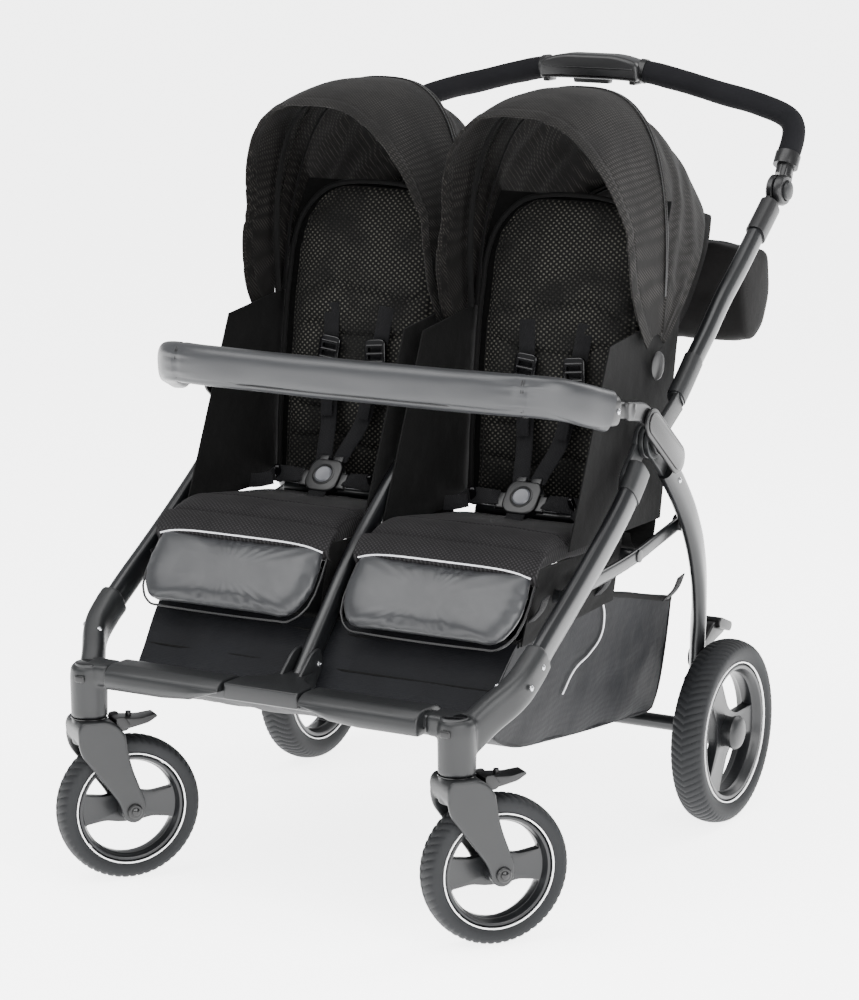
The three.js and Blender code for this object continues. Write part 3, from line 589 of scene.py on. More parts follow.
def plate(outline, fromX, toX, bevel=1.5, corner=0.0):
    # a flat side profile of (y, z) points, given its thickness by extrusion
    shape = rounded(outline, corner) if corner else [Vector(p[:2]) for p in outline]
    piece = fromFaces([at(fromX, p.x, p.y) for p in shape], [tuple(range(len(shape)))])
    take(piece)
    bpy.ops.object.mode_set(mode="EDIT")
    bpy.ops.mesh.select_all(action="SELECT")
    bpy.ops.mesh.extrude_region_move(TRANSFORM_OT_translate={"value": ((toX - fromX) / 1000, 0, 0)})
    bpy.ops.mesh.select_all(action="SELECT")
    bpy.ops.mesh.normals_make_consistent(inside=False)
    bpy.ops.object.mode_set(mode="OBJECT")
    return softened(piece, bevel) if bevel else piece


def brick(centre, size, bevel=2.0, segments=3, turn=(0, 0, 0)):
    bpy.ops.mesh.primitive_cube_add(size=1, location=at(*centre), rotation=[math.radians(a) for a in turn])
    piece = bpy.context.object
    piece.scale = at(*size)
    bpy.ops.object.transform_apply(location=True, rotation=True, scale=True)
    return softened(piece, bevel, segments)


def spun(profile, centre=(0, 0, 0), steps=96, axis="X"):
    # a closed (radius, along) profile turned about a line along an axis
    points = []
    for radius, along in profile:
        points.append(at(along, 0, radius) if axis == "X" else at(radius, 0, along))
    mesh = bpy.data.meshes.new("profile")
    mesh.from_pydata(points, [(i, (i + 1) % len(points)) for i in range(len(points))], [])
    piece = bpy.data.objects.new("profile", mesh)
    bpy.context.collection.objects.link(piece)
    take(piece)
    bpy.ops.object.mode_set(mode="EDIT")
    bpy.ops.mesh.select_all(action="SELECT")
    direction = (1, 0, 0) if axis == "X" else (0, 0, 1)
    bpy.ops.mesh.spin(steps=steps, angle=2 * math.pi, center=(0, 0, 0), axis=direction)
    bpy.ops.object.mode_set(mode="OBJECT")
    placed(piece, Matrix.Translation(at(*centre)))
    return outwards(piece)


def ball(centre, radius, flat=(1, 1, 1)):
    bpy.ops.mesh.primitive_uv_sphere_add(segments=24, ring_count=14, radius=radius / 1000,
                                         location=at(*centre))
    piece = bpy.context.object
    piece.scale = flat
    bpy.ops.object.transform_apply(location=True, rotation=True, scale=True)
    return piece


def cutBy(piece, *tools):
    for tool in tools:
        applied(piece, "BOOLEAN", operation="DIFFERENCE", object=tool, solver="EXACT")
        bpy.data.objects.remove(tool)
    return piece


def fused(parts, voxel, smooth=6):
    # several overlapping solids grown into one moulding
    piece = joined(*parts)
    applied(piece, "REMESH", mode="VOXEL", voxel_size=voxel / 1000)
    return applied(piece, "CORRECTIVE_SMOOTH", factor=0.6, iterations=smooth, smooth_type="SIMPLE",
                   use_only_smooth=True)


def nudged(piece, move):
    # moves each vertex by what a function of its place gives, both in millimetres
    count = len(piece.data.vertices)
    places = np.empty(count * 3)
    piece.data.vertices.foreach_get("co", places)
    places = places.reshape(-1, 3)
    places += move(places * 1000) / 1000
    piece.data.vertices.foreach_set("co", places.ravel())
    piece.data.update()
    return piece


def rivet(centre, direction, radius=4.0):
    # a domed rivet head with a dimple
    aim = Vector(direction).normalized()
    profile = [(0, -1.0), (radius, -1.0), (radius, 0.4), (radius * 0.7, 1.5), (radius * 0.3, 1.9),
               (radius * 0.22, 1.2), (0, 1.2)]
    piece = spun(profile, steps=24, axis="Z")
    turn = aim.to_track_quat("Z", "Y").to_matrix().to_4x4()
    return placed(piece, Matrix.Translation(at(*centre)) @ turn)


def ribbon(points, normals, width, thickness, count, widths=None):
    # a flat strap along a smooth line; each normal points out of its broad face
    line = flowing([at(*p) for p in points], count)
    normals = flowing([Vector(n).normalized() for n in normals], count)
    rings = []
    for i, place in enumerate(line):
        ahead = (line[min(i + 1, count - 1)] - line[max(i - 1, 0)]).normalized()
        out = (normals[i] - ahead * normals[i].dot(ahead)).normalized()
        side = ahead.cross(out)
        half = (np.interp(i / (count - 1), widths[0], widths[1]) if widths else width) / 2000
        thick = thickness / 2000
        ring = []
        for a, b in ((-1, -0.4), (-0.96, -1), (0.96, -1), (1, -0.4), (1, 0.4), (0.96, 1), (-0.96, 1),
                     (-1, 0.4)):
            ring.append(place + side * (a * half) + out * (b * thick))
        rings.append(ring)
    return loft(rings)


print("tools ready")

# wheels, each modelled once about its own centre and then copied to its places
frontWheel = {"radius": 101, "width": 42, "grooves": 56, "grooveSlant": 0.9, "line": 0.765, "steps": 336}
rearWheel = {"radius": 134, "width": 48, "grooves": 78, "grooveSlant": 1.2, "line": 0.76, "steps": 468}
rimShare = 0.745


def makeTyre(wheel):
    radius, half = wheel["radius"], wheel["width"] / 2
    seat = radius * rimShare + 0.4
    side = [
        (seat, -half * 0.6),
        (seat + 2, -half * 0.78),
        (radius * 0.79, -half * 0.86),
        (radius * 0.84, -half * 0.97),
        (radius * 0.89, -half),
        (radius * 0.935, -half * 0.95),
        (radius * 0.965, -half * 0.8),
        (radius * 0.985, -half * 0.55),
        (radius * 0.997, -half * 0.25),
    ]
    over = side + [(radius, 0)] + [(r, -x) for r, x in reversed(side)]
    profile = [(p.x, p.y) for p in flowing([(r, x, 0) for r, x in over], 34)]
    piece = spun(profile, steps=wheel["steps"])

    def groove(p):
        r = np.hypot(p[:, 1], p[:, 2])
        turn = np.arctan2(p[:, 2], p[:, 1]) / (2 * math.pi) * wheel["grooves"]
        lean = np.abs(p[:, 0]) / half * wheel["grooveSlant"]
        phase = (turn + lean + 0.25 * (p[:, 0] > 0)) % 1
        deep = np.clip(1 - np.abs(phase - 0.5) / 0.16, 0, 1) ** 0.5
        onTread = np.clip((r - radius * 0.925) / (radius * 0.02), 0, 1) * (np.abs(p[:, 0]) > half * 0.06)
        sink = -1.9 * deep * onTread
        return np.stack([0 * r, p[:, 1] / r * sink, p[:, 2] / r * sink], axis=1)

    return nudged(piece, groove)


def makeLine(wheel):
    # the printed line stands a hair proud of the tyre's bead, both sides
    radius, half = wheel["radius"] * wheel["line"], wheel["width"] / 2
    rings = []
    for side in (-1, 1):
        x = side * half * 0.795
        profile = [(radius - 0.9, x), (radius - 0.9, x + side * 1.6), (radius + 0.9, x + side * 2.1),
                   (radius + 0.9, x)]
        rings.append(spun(profile, steps=120))
    return joined(*rings)


def makeFrontRim():
    radius, half = frontWheel["radius"] * rimShare, frontWheel["width"] / 2
    ring = [
        (radius - 0.2, -half * 0.74),
        (radius - 2.5, -half * 0.84),
        (radius - 5.5, -half * 0.8),
        (radius - 7.5, -half * 0.55),
        (radius - 9, -7),
        (15, -5.5),
        (15, 5.5),
        (radius - 9, 7),
        (radius - 7.5, half * 0.55),
        (radius - 5.5, half * 0.8),
        (radius - 2.5, half * 0.84),
        (radius - 0.2, half * 0.74),
    ]
    piece = spun(ring, steps=120)
    tools = []
    for flip in (1, -1):
        top = radius - 9.5
        start = math.asin(21 / top)
        arc = [(top * math.cos(a) * flip, top * math.sin(a) * flip, 1) for a in np.linspace(start,
            math.pi - start, 28)]
        arc[0], arc[-1] = (*arc[0][:2], 13), (*arc[-1][:2], 13)
        edge = [(-34 * flip, 17 * flip, 6), (-12 * flip, 21 * flip, 8), (12 * flip, 21 * flip, 8),
                (34 * flip, 17 * flip, 6)]
        tools.append(plate(rounded(arc + edge, 2, 6), -30, 30, 0))
    cutBy(piece, *tools)
    softened(piece, 1.4, 2, 40)
    hub = spun([(0, -24.5), (13, -24.5), (15, -22), (16.5, -8), (16.5, 8), (15, 22), (13, 24.5), (0, 24.5)],
               steps=48)
    return joined(piece, hub)


def makeRearRim():
    radius, half = rearWheel["radius"] * rimShare, rearWheel["width"] / 2
    ring = [
        (radius - 0.2, -half * 0.74),
        (radius - 3, -half * 0.84),
        (radius - 7, -half * 0.8),
        (radius - 10, -half * 0.5),
        (radius - 12, -8),
        (20, -7),
        (20, 7),
        (radius - 12, 8),
        (radius - 10, half * 0.5),
        (radius - 7, half * 0.8),
        (radius - 3, half * 0.84),
        (radius - 0.2, half * 0.74),
    ]
    piece = spun(ring, steps=132)
    tools = []
    for i in range(3):
        middle = math.radians(60 + 120 * i)
        top = radius - 12.5
        spread = math.radians(60) - 21 / top
        arc = [(top * math.cos(middle + a), top * math.sin(middle + a), 1) for a in np.linspace(-spread,
            spread, 22)]
        arc[0], arc[-1] = (*arc[0][:2], 17), (*arc[-1][:2], 17)
        near = [(34 * math.cos(middle + a), 34 * math.sin(middle + a), 12) for a in (0.42, -0.42)]
        tools.append(plate(rounded(arc + near, 2, 6), -34, 34, 0))
    cutBy(piece, *tools)
    softened(piece, 1.6, 2, 40)
    hub = spun([(0, -26), (18, -26), (22, -22), (22, 22), (19, 26), (0, 26)], steps=48)
    return joined(piece, hub)


def makeHubCap():
    # domed cap outside the rear wheel
    return spun([(0, 18), (24, 18), (25, 23), (22.5, 27), (17, 29.5), (9, 31.3), (0, 32)], steps=64)


caster = {"x": 286, "y": -414, "steer": 38, "trail": 52.5}


def casterPlace(side):
    turn = Matrix.Rotation(-math.radians(caster["steer"]), 4, "Z")
    return Matrix.Translation(at(side * caster["x"], caster["y"], 0)) @ turn


def makeWheels():
    wheelCentre = Matrix.Translation(at(0, caster["trail"], frontWheel["radius"]))
    tyre, rim, line = makeTyre(frontWheel), makeFrontRim(), makeLine(frontWheel)
    for side, name in ((-1, "left"), (1, "right")):
        place = casterPlace(side) @ wheelCentre
        body = f"front_wheel_{name}"
        settle(twin(tyre, place), f"frontTyre_{name}", tyreRubber, body, f"front_tyre_{name}", slot="tyre")
        settle(twin(rim, place), f"frontRim_{name}", rimNylon, body, f"front_rim_{name}", slot="rim")
        settle(twin(line, place), f"frontTyreLine_{name}", whitePrint, body)
    rearTyre, rearRim, rearLine, cap = makeTyre(rearWheel), makeRearRim(), makeLine(rearWheel), makeHubCap()
    for side, name in ((-1, "left"), (1, "right")):
        place = Matrix.Translation(at(side * 345, 276, rearWheel["radius"]))
        if side < 0:
            place = place @ Matrix.Rotation(math.pi, 4, "Z")
        body = f"rear_wheel_{name}"
        settle(twin(rearTyre, place), f"rearTyre_{name}", tyreRubber, body, f"rear_tyre_{name}", slot="tyre")
        settle(twin(rearRim, place), f"rearRim_{name}", rimNylon, body, f"rear_rim_{name}", slot="rim")
        settle(twin(rearLine, place), f"rearTyreLine_{name}", whitePrint, body)
        settle(twin(cap, place), f"rearHubCap_{name}", filledNylon, body)
    for first in (tyre, rim, line, rearTyre, rearRim, rearLine, cap):
        bpy.data.objects.remove(first)


makeWheels()
print("wheels")

# caster fork and lock lever, about the caster's own swivel line
fork = {"inner": 25, "arm": 8, "tail": 52.5, "axle": 101}


def makeFork():
    inner, outer = fork["inner"], fork["inner"] + fork["arm"]
    crown = plate(
        [(-25, 206), (-26, 222, 6), (-20, 232, 6), (17, 232, 8), (32, 224, 14), (44, 206, 14), (38, 196),
         (-20, 196)],
        -outer,
        outer,
        3.5,
        4,
    )
    arms = []
    for x in (-outer, inner):
        outline = [
            (-26, 208, 4),
            (-22, 186, 10),
            (fork["tail"] - 20, 112, 16),
            (fork["tail"] - 14, 88, 12),
            (fork["tail"] + 2, 82, 14),
            (fork["tail"] + 16, 92, 12),
            (fork["tail"] + 17, 112, 14),
            (48, 168, 40),
            (42, 208, 4),
        ]
        arms.append(plate(outline, x, x + fork["arm"], 2.4, 8))
    neck = spun([(0, 196), (24, 196), (24.5, 215), (23, 232), (0, 232)], steps=48, axis="Z")
    piece = fused([crown, neck, *arms], 1.5, 4)
    collar = spun([(12, 231.5), (23.6, 231.5), (23.6, 232.3), (12, 232.3)], steps=48, axis="Z")
    stem = rod((0, 0, 225), (0, 0, 279), 11, 1)
    return joined(piece, collar, stem)


def makeForkAxle():
    bolt = rod((-38, fork["tail"], fork["axle"]), (38, fork["tail"], fork["axle"]), 6)
    heads = [
        spun([(0, 33), (10.5, 33), (10.5, 35.6), (8.5, 37), (0, 37)], (0, fork["tail"], fork["axle"]), 40),
        spun([(0, -37), (8.5, -37), (10.5, -35.6), (10.5, -33), (0, -33)], (0, fork["tail"], fork["axle"]),
             40),
    ]
    return joined(bolt, *heads)


def makeForkBoltCaps():
    made = []
    for side in (-1, 1):
        profile = [(0, side * 36.5), (6.2, side * 36.5), (5.4, side * 38.6), (2.5, side * 40),
                   (0, side * 40.2)]
        made.append(spun(profile, (0, fork["tail"], fork["axle"]), 32))
    return joined(*made)


def makeLockLever():
    # a foot paddle with a rim round its tread, on a short neck
    blade = plate([(36, 214), (44, 213), (80, 219), (94, 226, 6), (92, 230, 3), (70, 227), (42, 229),
                   (34, 228)], -17, 17, 2.2, 4)

    def narrow(p):
        share = np.clip((p[:, 1] - 40) / 54, 0, 1)
        return np.stack([p[:, 0] * (-0.32 * share**2), 0 * share, 0 * share], axis=1)

    blade = nudged(applied(blade, "SUBSURF", levels=1, subdivision_type="SIMPLE"), narrow)
    cheeks = [plate([(32, 211), (48, 212), (54, 219), (44, 232), (32, 231)], x, x + 3.2, 1,
                    4) for x in (-19, 15.8)]
    knob = rod((0, 55, 227), (0, 55, 235), 4, 1.2, 24)
    return joined(blade, knob, *cheeks)


def makeCasters():
    parts = {
        "casterFork": (makeFork(), filledNylon, "caster", "caster_fork", "moulded_grey"),
        "forkAxle": (makeForkAxle(), blackAbs, "caster", None, None),
        "forkBoltCaps": (makeForkBoltCaps(), glossAcetal, "caster", None, None),
        "lockLever": (makeLockLever(), blackAbs, "caster_lock", "lock_lever", "moulded_black"),
    }
    for name, (piece, finish, body, node, slot) in parts.items():
        for side, word in ((-1, "left"), (1, "right")):
            nodes = [f"{node}_{word}"] if node else []
            settle(twin(piece, casterPlace(side)), f"{name}_{word}", finish, f"{body}_{word}", *nodes,
                   slot=slot)
        bpy.data.objects.remove(piece)


makeCasters()
print("casters")

# front frame
plane = 333  # the side, handle and rear tubes stand in this plane
sideTube = {
    "path": [(-332, 327), (-312, 342), (-262, 375), (-190, 418), (-116, 464), (-45, 512), (-16, 536),
             (10, 562)],
    "width": 22,
    "depth": 40,
}


def inPlane(path, x=plane):
    return [(x, y, z) for y, z in path]


def makeSideTube():
    piece = tube(inPlane(sideTube["path"]), sideTube["width"], sideTube["depth"], 2.7, 8, 32)
    settlePair(piece, "sideTube", powderCoat, "front_frame", "side_tube", slot="frame_tube", common=True)
    collar = tube(inPlane([(-20, 532), (-4, 547), (13, 565)]), 24.5, 42.5, 3.2, 6)
    settlePair(softened(collar, 2.2, 3, 50), "sideTubeCollar", filledNylon, "front_frame", common=True)
    plugs = [rivet((plane - 11.4, -292, 360), (-1, 0, 0)), rivet((plane + 11.4, -292, 360), (1, 0, 0), 3.4)]
    settlePair(joined(*plugs), "sideTubeRivets", rivetSteel, "front_frame", common=True)


def makeCasterHousing():
    barrel = spun(
        [(0, 233.2), (22.5, 233.2), (25, 235.5), (25.3, 262), (25.8, 290), (24.5, 303), (20, 308), (0, 308)],
        (286, -414, 0),
        56,
        "Z",
    )
    arm = tube([(291, -404, 276), (306, -374, 300), (328, -334, 329), (333, -300, 352), (333, -280, 365)],
               33, 48, 3.0, 6)
    brow = brick((268, -408, 296), (44, 44, 30), 7, 4)
    piece = fused([barrel, arm, brow], 1.8, 5)
    # the tube and the crossbar sink into their sockets
    settlePair(piece, "casterHousing", filledNylon, "front_frame", "caster_housing", slot="moulded_grey",
               common=True)
    cap = spun([(0, 306), (15, 306), (15.6, 309.2), (13.5, 310.4), (0, 310.8)], (284, -417, 0), 44, "Z")
    placed(cap, Matrix.Translation(at(284, -417, 0)) @ Matrix.Scale(1.2, 4,
        (1, 0, 0)) @ Matrix.Translation(-at(284, -417, 0)))
    lip = spun([(16.6, 306), (18.6, 306), (18.8, 309.6), (17.6, 310.2), (16.6, 309.4)], (284, -417, 0), 44,
               "Z")
    settlePair(cap, "casterCap", glossAcetal, "front_frame", common=True)
    settlePair(lip, "casterCapLip", filledNylon, "front_frame", common=True)
    button = brick((283, -440.2, 291), (15, 4.5, 10), 2.4, 4)
    settlePair(button, "casterButton", blackAbs, "front_frame", common=True)
    ring = spun([(24.6, 232.6), (25.6, 232.6), (25.6, 233.4), (24.6, 233.4)], (286, -414, 0), 56, "Z")
    settlePair(ring, "casterSeam", glossAcetal, "front_frame", common=True)
    rivets = [rivet((333 + 17, -330, 336), (1, 0, 0)), rivet((310, -352, 339), (-0.5, -0.6, 0.8)),
              rivet((349, -296, 356), (1, 0, 0))]
    settlePair(joined(*rivets), "housingRivets", rivetSteel, "front_frame", common=True)


def makeCrossbar():
    bar = brick((0, -408, 298), (532, 34, 20), 5, 4)
    settle(bar, "frontCrossbar", powderCoat, "front_frame", "front_crossbar", slot="frame_tube")
    outline = [(-438, 281, 4), (-382, 281, 4), (-374, 292, 4), (-374, 304, 3), (-386, 313.5, 6),
               (-428, 315, 8), (-442, 306, 6), (-444, 290, 5)]
    tread = plate(outline, 62, 242, 2.5, 4)

    def tapered(p):
        # the inner end is a thin tongue that rests on the bar
        share = np.clip((118 - p[:, 0]) / 56, 0, 1)
        low = p[:, 2] < 303
        return np.stack([0 * share, 0 * share, np.where(low, share * (303 - p[:, 2]) * 0.9, 0)], axis=1)

    tread = nudged(applied(tread, "SUBSURF", levels=2, subdivision_type="SIMPLE"), tapered)
    settlePair(tread, "footTread", filledNylon, "front_frame", "foot_tread", slot="moulded_black",
               common=True)
    plateShape = [(-58, -434, 6), (58, -434, 6), (55, -388, 10), (26, -366, 12), (20, -322, 3),
                  (-20, -322, 3), (-26, -366, 12), (-55, -388, 10)]
    face = fromFaces([at(p.x, p.y, 292) for p in rounded(plateShape, 4)],
                     [tuple(range(len(rounded(plateShape, 4))))])
    take(face)
    bpy.ops.object.mode_set(mode="EDIT")
    bpy.ops.mesh.select_all(action="SELECT")
    bpy.ops.mesh.extrude_region_move(TRANSFORM_OT_translate={"value": (0, 0, 0.022)})
    bpy.ops.mesh.select_all(action="SELECT")
    bpy.ops.mesh.normals_make_consistent(inside=False)
    bpy.ops.object.mode_set(mode="OBJECT")
    softened(face, 2.2)
    cheeks = [plate([(-372, 282, 6), (-330, 280, 10), (-296, 322, 14), (-306, 344, 8), (-326, 340, 10),
                     (-360, 312, 10)], x, x + 5, 1.6, 6) for x in (-17, 12)]
    settle(joined(face, *cheeks), "centreBracket", filledNylon, "front_frame", "centre_bracket",
           slot="moulded_grey")
    pins = []
    for side in (-1, 1):
        pins += [rivet((side * 17.4, -310, 322), (side, 0, 0), 4.5),
                 rivet((side * 17.4, -338, 298), (side, 0, 0), 3.4)]
        pins.append(rivet((side * 42, -425.4, 298), (0, -1, 0), 3.2))
    settle(joined(*pins), "bracketRivets", rivetSteel, "front_frame")


def makeCentreTube():
    path = [(-352, 281), (-318, 316), (-253, 382), (-194, 441), (-131, 491), (-60, 543), (0, 576)]
    piece = tube(inPlane(path, 0), 21, 31, 2.7, 8)
    settle(piece, "centreTube", powderCoat, "front_frame", "centre_tube", slot="frame_tube")
    hub = spun([(0, -9), (26, -9), (28, -7), (28, 7), (26, 9), (0, 9)], (0, 37, 598), 56)
    ribs = [spun([(15, x), (20, x), (20, x + 1.6), (15, x + 1.6)], (0, 37, 598), 48) for x in (9, -10.6)]
    post = plate([(30, 610, 6), (44, 606, 6), (116, 690, 8), (108, 704, 8), (94, 698, 8)], -3, 3, 1.2, 5)
    pin = rod((-14, 105, 692), (14, 105, 692), 5, 0.8, 24)
    settle(joined(hub, post, pin, *ribs), "centreHub", blackAbs, "front_frame", "centre_hub",
           slot="moulded_black")


def makeFront():
    makeSideTube()
    makeCasterHousing()
    makeCrossbar()
    makeCentreTube()


makeFront()
print("front frame")

# joint on each side: layers from the middle outwards, one pivot line at (45, 598)
sideJoint = {"frame": (317.6, 325.4), "leg": (326.4, 333.6), "handle": (334.8, 342.0),
             "bumper": (343.0, 350.2)}
pivot = (45, 598)


def lug(layer, radius, reach=None, width=None):
    # a disc about the fold line with an arm that runs out to its own tube
    low, high = sideJoint[layer]
    outline = [(pivot[0] + radius * math.cos(a), pivot[1] + radius * math.sin(a)) for a in np.linspace(0,
        2 * math.pi, 40, endpoint=False)]
    disc = plate(outline, low, high, 1.2)
    if not reach:
        return disc
    a, b = Vector(pivot), Vector(reach)
    side = (b - a).normalized().orthogonal() * width / 2
    arm = plate([(a + side)[:], (b + side)[:], (b - side)[:], (a - side)[:]], low, high, 1.2)
    return joined(disc, arm)


def makeJoints():
    inner = [lug("frame", 24, (-8, 549), 30), rod((331, -8, 549), (319, -8, 549), 15, 2)]
    settlePair(joined(*inner), "frameLug", filledNylon, "front_frame", common=True)
    settlePair(lug("leg", 24, (101, 551), 30), "legLug", filledNylon, "rear_frame", common=True)
    settlePair(lug("handle", 24, (124, 642), 30), "handleLug", filledNylon, "handle", common=True)
    link = []
    ends = ((9, 630), (89, 568))
    axis = (Vector(ends[1]) - Vector(ends[0])).normalized()
    across = Vector((-axis.y, axis.x))
    for low, high, radius, bevel in ((351.4, 356.6, 21, 1.6), (356.2, 358.4, 15.5, 0.9)):
        shape = []
        for centre, start in ((ends[0], 90), (ends[1], -90)):
            for a in np.linspace(math.radians(start), math.radians(start + 180), 22):
                shape.append(tuple(Vector(centre) + axis * math.cos(a) * radius + across * math.sin(a)
                                   * radius))
        link.append(plate(shape, low, high, bevel))
    settlePair(link[0], "jointCover", blackAbs, "front_frame", "joint_cover", slot="moulded_black",
               common=True)
    settlePair(link[1], "jointCoverFace", glossAcetal, "front_frame", common=True)
    caps = [rivet((350.6, -88, 661), (1, 0, 0), 4)]
    settlePair(joined(*caps), "bumperRivets", rivetSteel, "bumper", common=True)


handle = {
    "tube": [(124, 642), (170, 681), (221, 720), (273, 763), (333, 805), (389, 847), (430, 877)],
    "arch": [
        (333, 480, 924),
        (333, 494, 946),
        (330, 519, 972),
        (319, 539, 990),
        (297, 548, 1003),
        (255, 548, 1016),
        (201, 541, 1029),
        (138, 535, 1045),
        (76, 529, 1057),
        (0, 524, 1062),
    ],
}


def makeHandle():
    side = tube(inPlane(handle["tube"]), 22, 30, 2.7, 6)
    settlePair(side, "handleTube", powderCoat, "handle", "handle_tube", slot="frame_tube", common=True)
    socket = tube(inPlane([(127, 645), (152, 665), (182, 691)]), 24.5, 32.5, 2.7, 5)
    settlePair(socket, "handleSocket", filledNylon, "handle", common=True)
    collar = tube(inPlane([(384, 843), (410, 862), (434, 880)]), 27, 35, 2.8, 5)
    disc = spun([(0, 322), (20, 322), (22.4, 324), (22.4, 331), (21, 332), (0, 332)], (0, 461, 900), 56)
    neck = plate([(424, 858, 8), (440, 852, 12), (478, 884, 14), (466, 912, 14), (430, 888, 8)], 323, 331.8,
                 2, 6)
    settlePair(joined(collar, disc, neck), "handleClamp", blackAbs, "handle", common=True)
    outer = spun([(0, 333), (20.5, 333), (22.4, 335), (22.4, 342), (20, 346), (15.5, 346.6), (15.5, 342),
                  (0, 342)], (0, 461, 900), 56)
    arm = plate([(440, 888, 10), (470, 876, 12), (496, 914, 16), (500, 946, 6), (480, 948, 6),
                 (462, 922, 10)], 333.2, 341.6, 2, 6)
    boot = tube([(333, 478, 920), (333, 486, 934), (333, 498, 950)], 25, 25, 2, 6)
    settlePair(joined(outer, arm, boot), "gripClamp", blackAbs, "handle_grip", common=True)
    button = spun([(0, 346), (13.6, 346), (14, 348.5), (13, 351.6), (9, 353.2), (0, 353.8)], (0, 461, 900),
                  48)
    settlePair(button, "adjustButton", filledNylon, "adjust_release", "adjust_button", slot="moulded_grey")
    whole = handle["arch"] + [(-x, y, z) for x, y, z in reversed(handle["arch"][:-1])]
    arch = tube(whole, 18, 18, 2, 6, 24)
    settle(arch, "handleArch", powderCoat, "handle_grip", "handle_arch", slot="frame_tube")
    line = flowing(handle["arch"], 90)
    kept = [tuple(p) for p in line if p[0] > 78]
    kept = kept[3::3]
    foam = tube([tuple(p) for p in kept], 34, 34, 2, 3, 36)

    def worn(p):
        # the foam is never quite round
        lift = [noise.noise(Vector((x, y, z)) * 0.03) * 0.7 for x, y, z in p]
        return np.stack([np.zeros(len(p)), np.zeros(len(p)), np.array(lift)], axis=1)

    nudged(foam, worn)
    settlePair(foam, "foamGrip", gripFoam, "handle_grip", "foam_grip", slot="foam", common=True)
    ends = [tube([line[k][:] for k in (2, 4, 6)], 37.5, 37.5, 2, 4, 36)]
    collarEnd = [p[:] for p in line if 74 < p[0] < 86]
    ends.append(tube([collarEnd[-1], collarEnd[0]], 37, 37, 2, 2, 36))
    settlePair(joined(*ends), "foamCollars", blackAbs, "handle_grip", common=True)
    outline = [(-82, 1041, 8), (-82, 1070, 12), (-46, 1080, 30), (46, 1080, 30), (82, 1070, 12),
               (82, 1041, 8), (50, 1043, 20), (-50, 1043, 20)]
    shell = plate(outline, -21, 21, 7, 10)
    shell = placed(shell, Matrix.Rotation(math.radians(-90), 4, "Z"))
    placed(shell, Matrix.Translation(at(0, 524, 0)))
    feet = [brick((x, 524 - 4, 1040), (11, 26, 7), 2.4) for x in (-72, 72)]
    settle(joined(shell, *feet), "gripHousing", blackAbs, "handle_grip", "grip_housing", slot="moulded_black")
    groove = brick((0, 524 - 21.4, 1060), (150, 1.2, 1.6), 0.5)
    settle(groove, "housingSeam", glossAcetal, "handle_grip")
    press = brick((0, 522, 1040.5), (60, 15, 9), 3)
    settle(press, "foldButton", filledNylon, "fold_release", "fold_button", slot="moulded_grey")


rearLeg = [(333, 101, 551), (333, 144, 506), (332, 184, 454), (328, 217, 396), (319, 245, 333),
           (309, 263, 271), (305, 272, 205), (305, 276, 166)]


def makeRear():
    leg = tube(rearLeg, 22, 38, 2.7, 6)
    settlePair(leg, "rearLeg", powderCoat, "rear_frame", "rear_leg", slot="frame_tube", common=True)
    foot = tube([(305, 270, 214), (305, 275, 180), (305, 276, 140), (305, 276, 116)], 30, 46, 3.2, 6)
    boss = spun([(0, 290), (24, 290), (27, 293), (27, 318), (24, 321), (0, 321)], (0, 276, 134), 56)
    web = fused([foot, boss], 1.8, 5)
    settlePair(web, "rearFoot", filledNylon, "rear_frame", common=True)
    bar = rod((-318, 276, 134), (318, 276, 134), 11, 0.8)
    spindle = rod((-356.5, 276, 134), (356.5, 276, 134), 6, 0.8)
    settle(joined(bar, spindle), "rearAxle", powderCoat, "rear_frame", "rear_axle", slot="frame_tube")
    bolts = [rivet((321.5, 276, 134), (1, 0, 0), 5), rivet((316.8, 262, 236), (1, -0.2, 0), 4),
             rivet((344.3, 120, 531), (1, 0, 0), 4)]
    settlePair(joined(*bolts), "rearRivets", rivetSteel, "rear_frame", common=True)
    arm = plate([(300, 214, 12), (324, 214, 12), (346, 238, 12), (398, 250, 8), (398, 268, 8),
                 (362, 272, 10), (326, 250, 12), (300, 240, 10)], 275.4, 291.6, 3, 6)
    tread = plate([(364, 262, 3), (404, 249, 4), (410, 257, 4), (408, 263, 3), (372, 277, 4),
                   (364, 272, 3)], 255.6, 297.6, 2, 2)
    ribs = [brick((x, 390, 269.2), (2.6, 30, 2.2), 0.7, 2, (-19, 0, 0)) for x in np.linspace(262, 292, 6)]
    settle(joined(arm, tread, *ribs), "brakePedal", blackAbs, "brake", "brake_pedal", slot="moulded_black")


bumper = {
    "path": [(0, -211, 692), (135.5, -209, 692), (271, -198, 691), (307, -172, 686), (338, -101, 663)],
    "height": 56,
    "depth": 35,
    "corner": 3.0,
    "seam": 271,
}


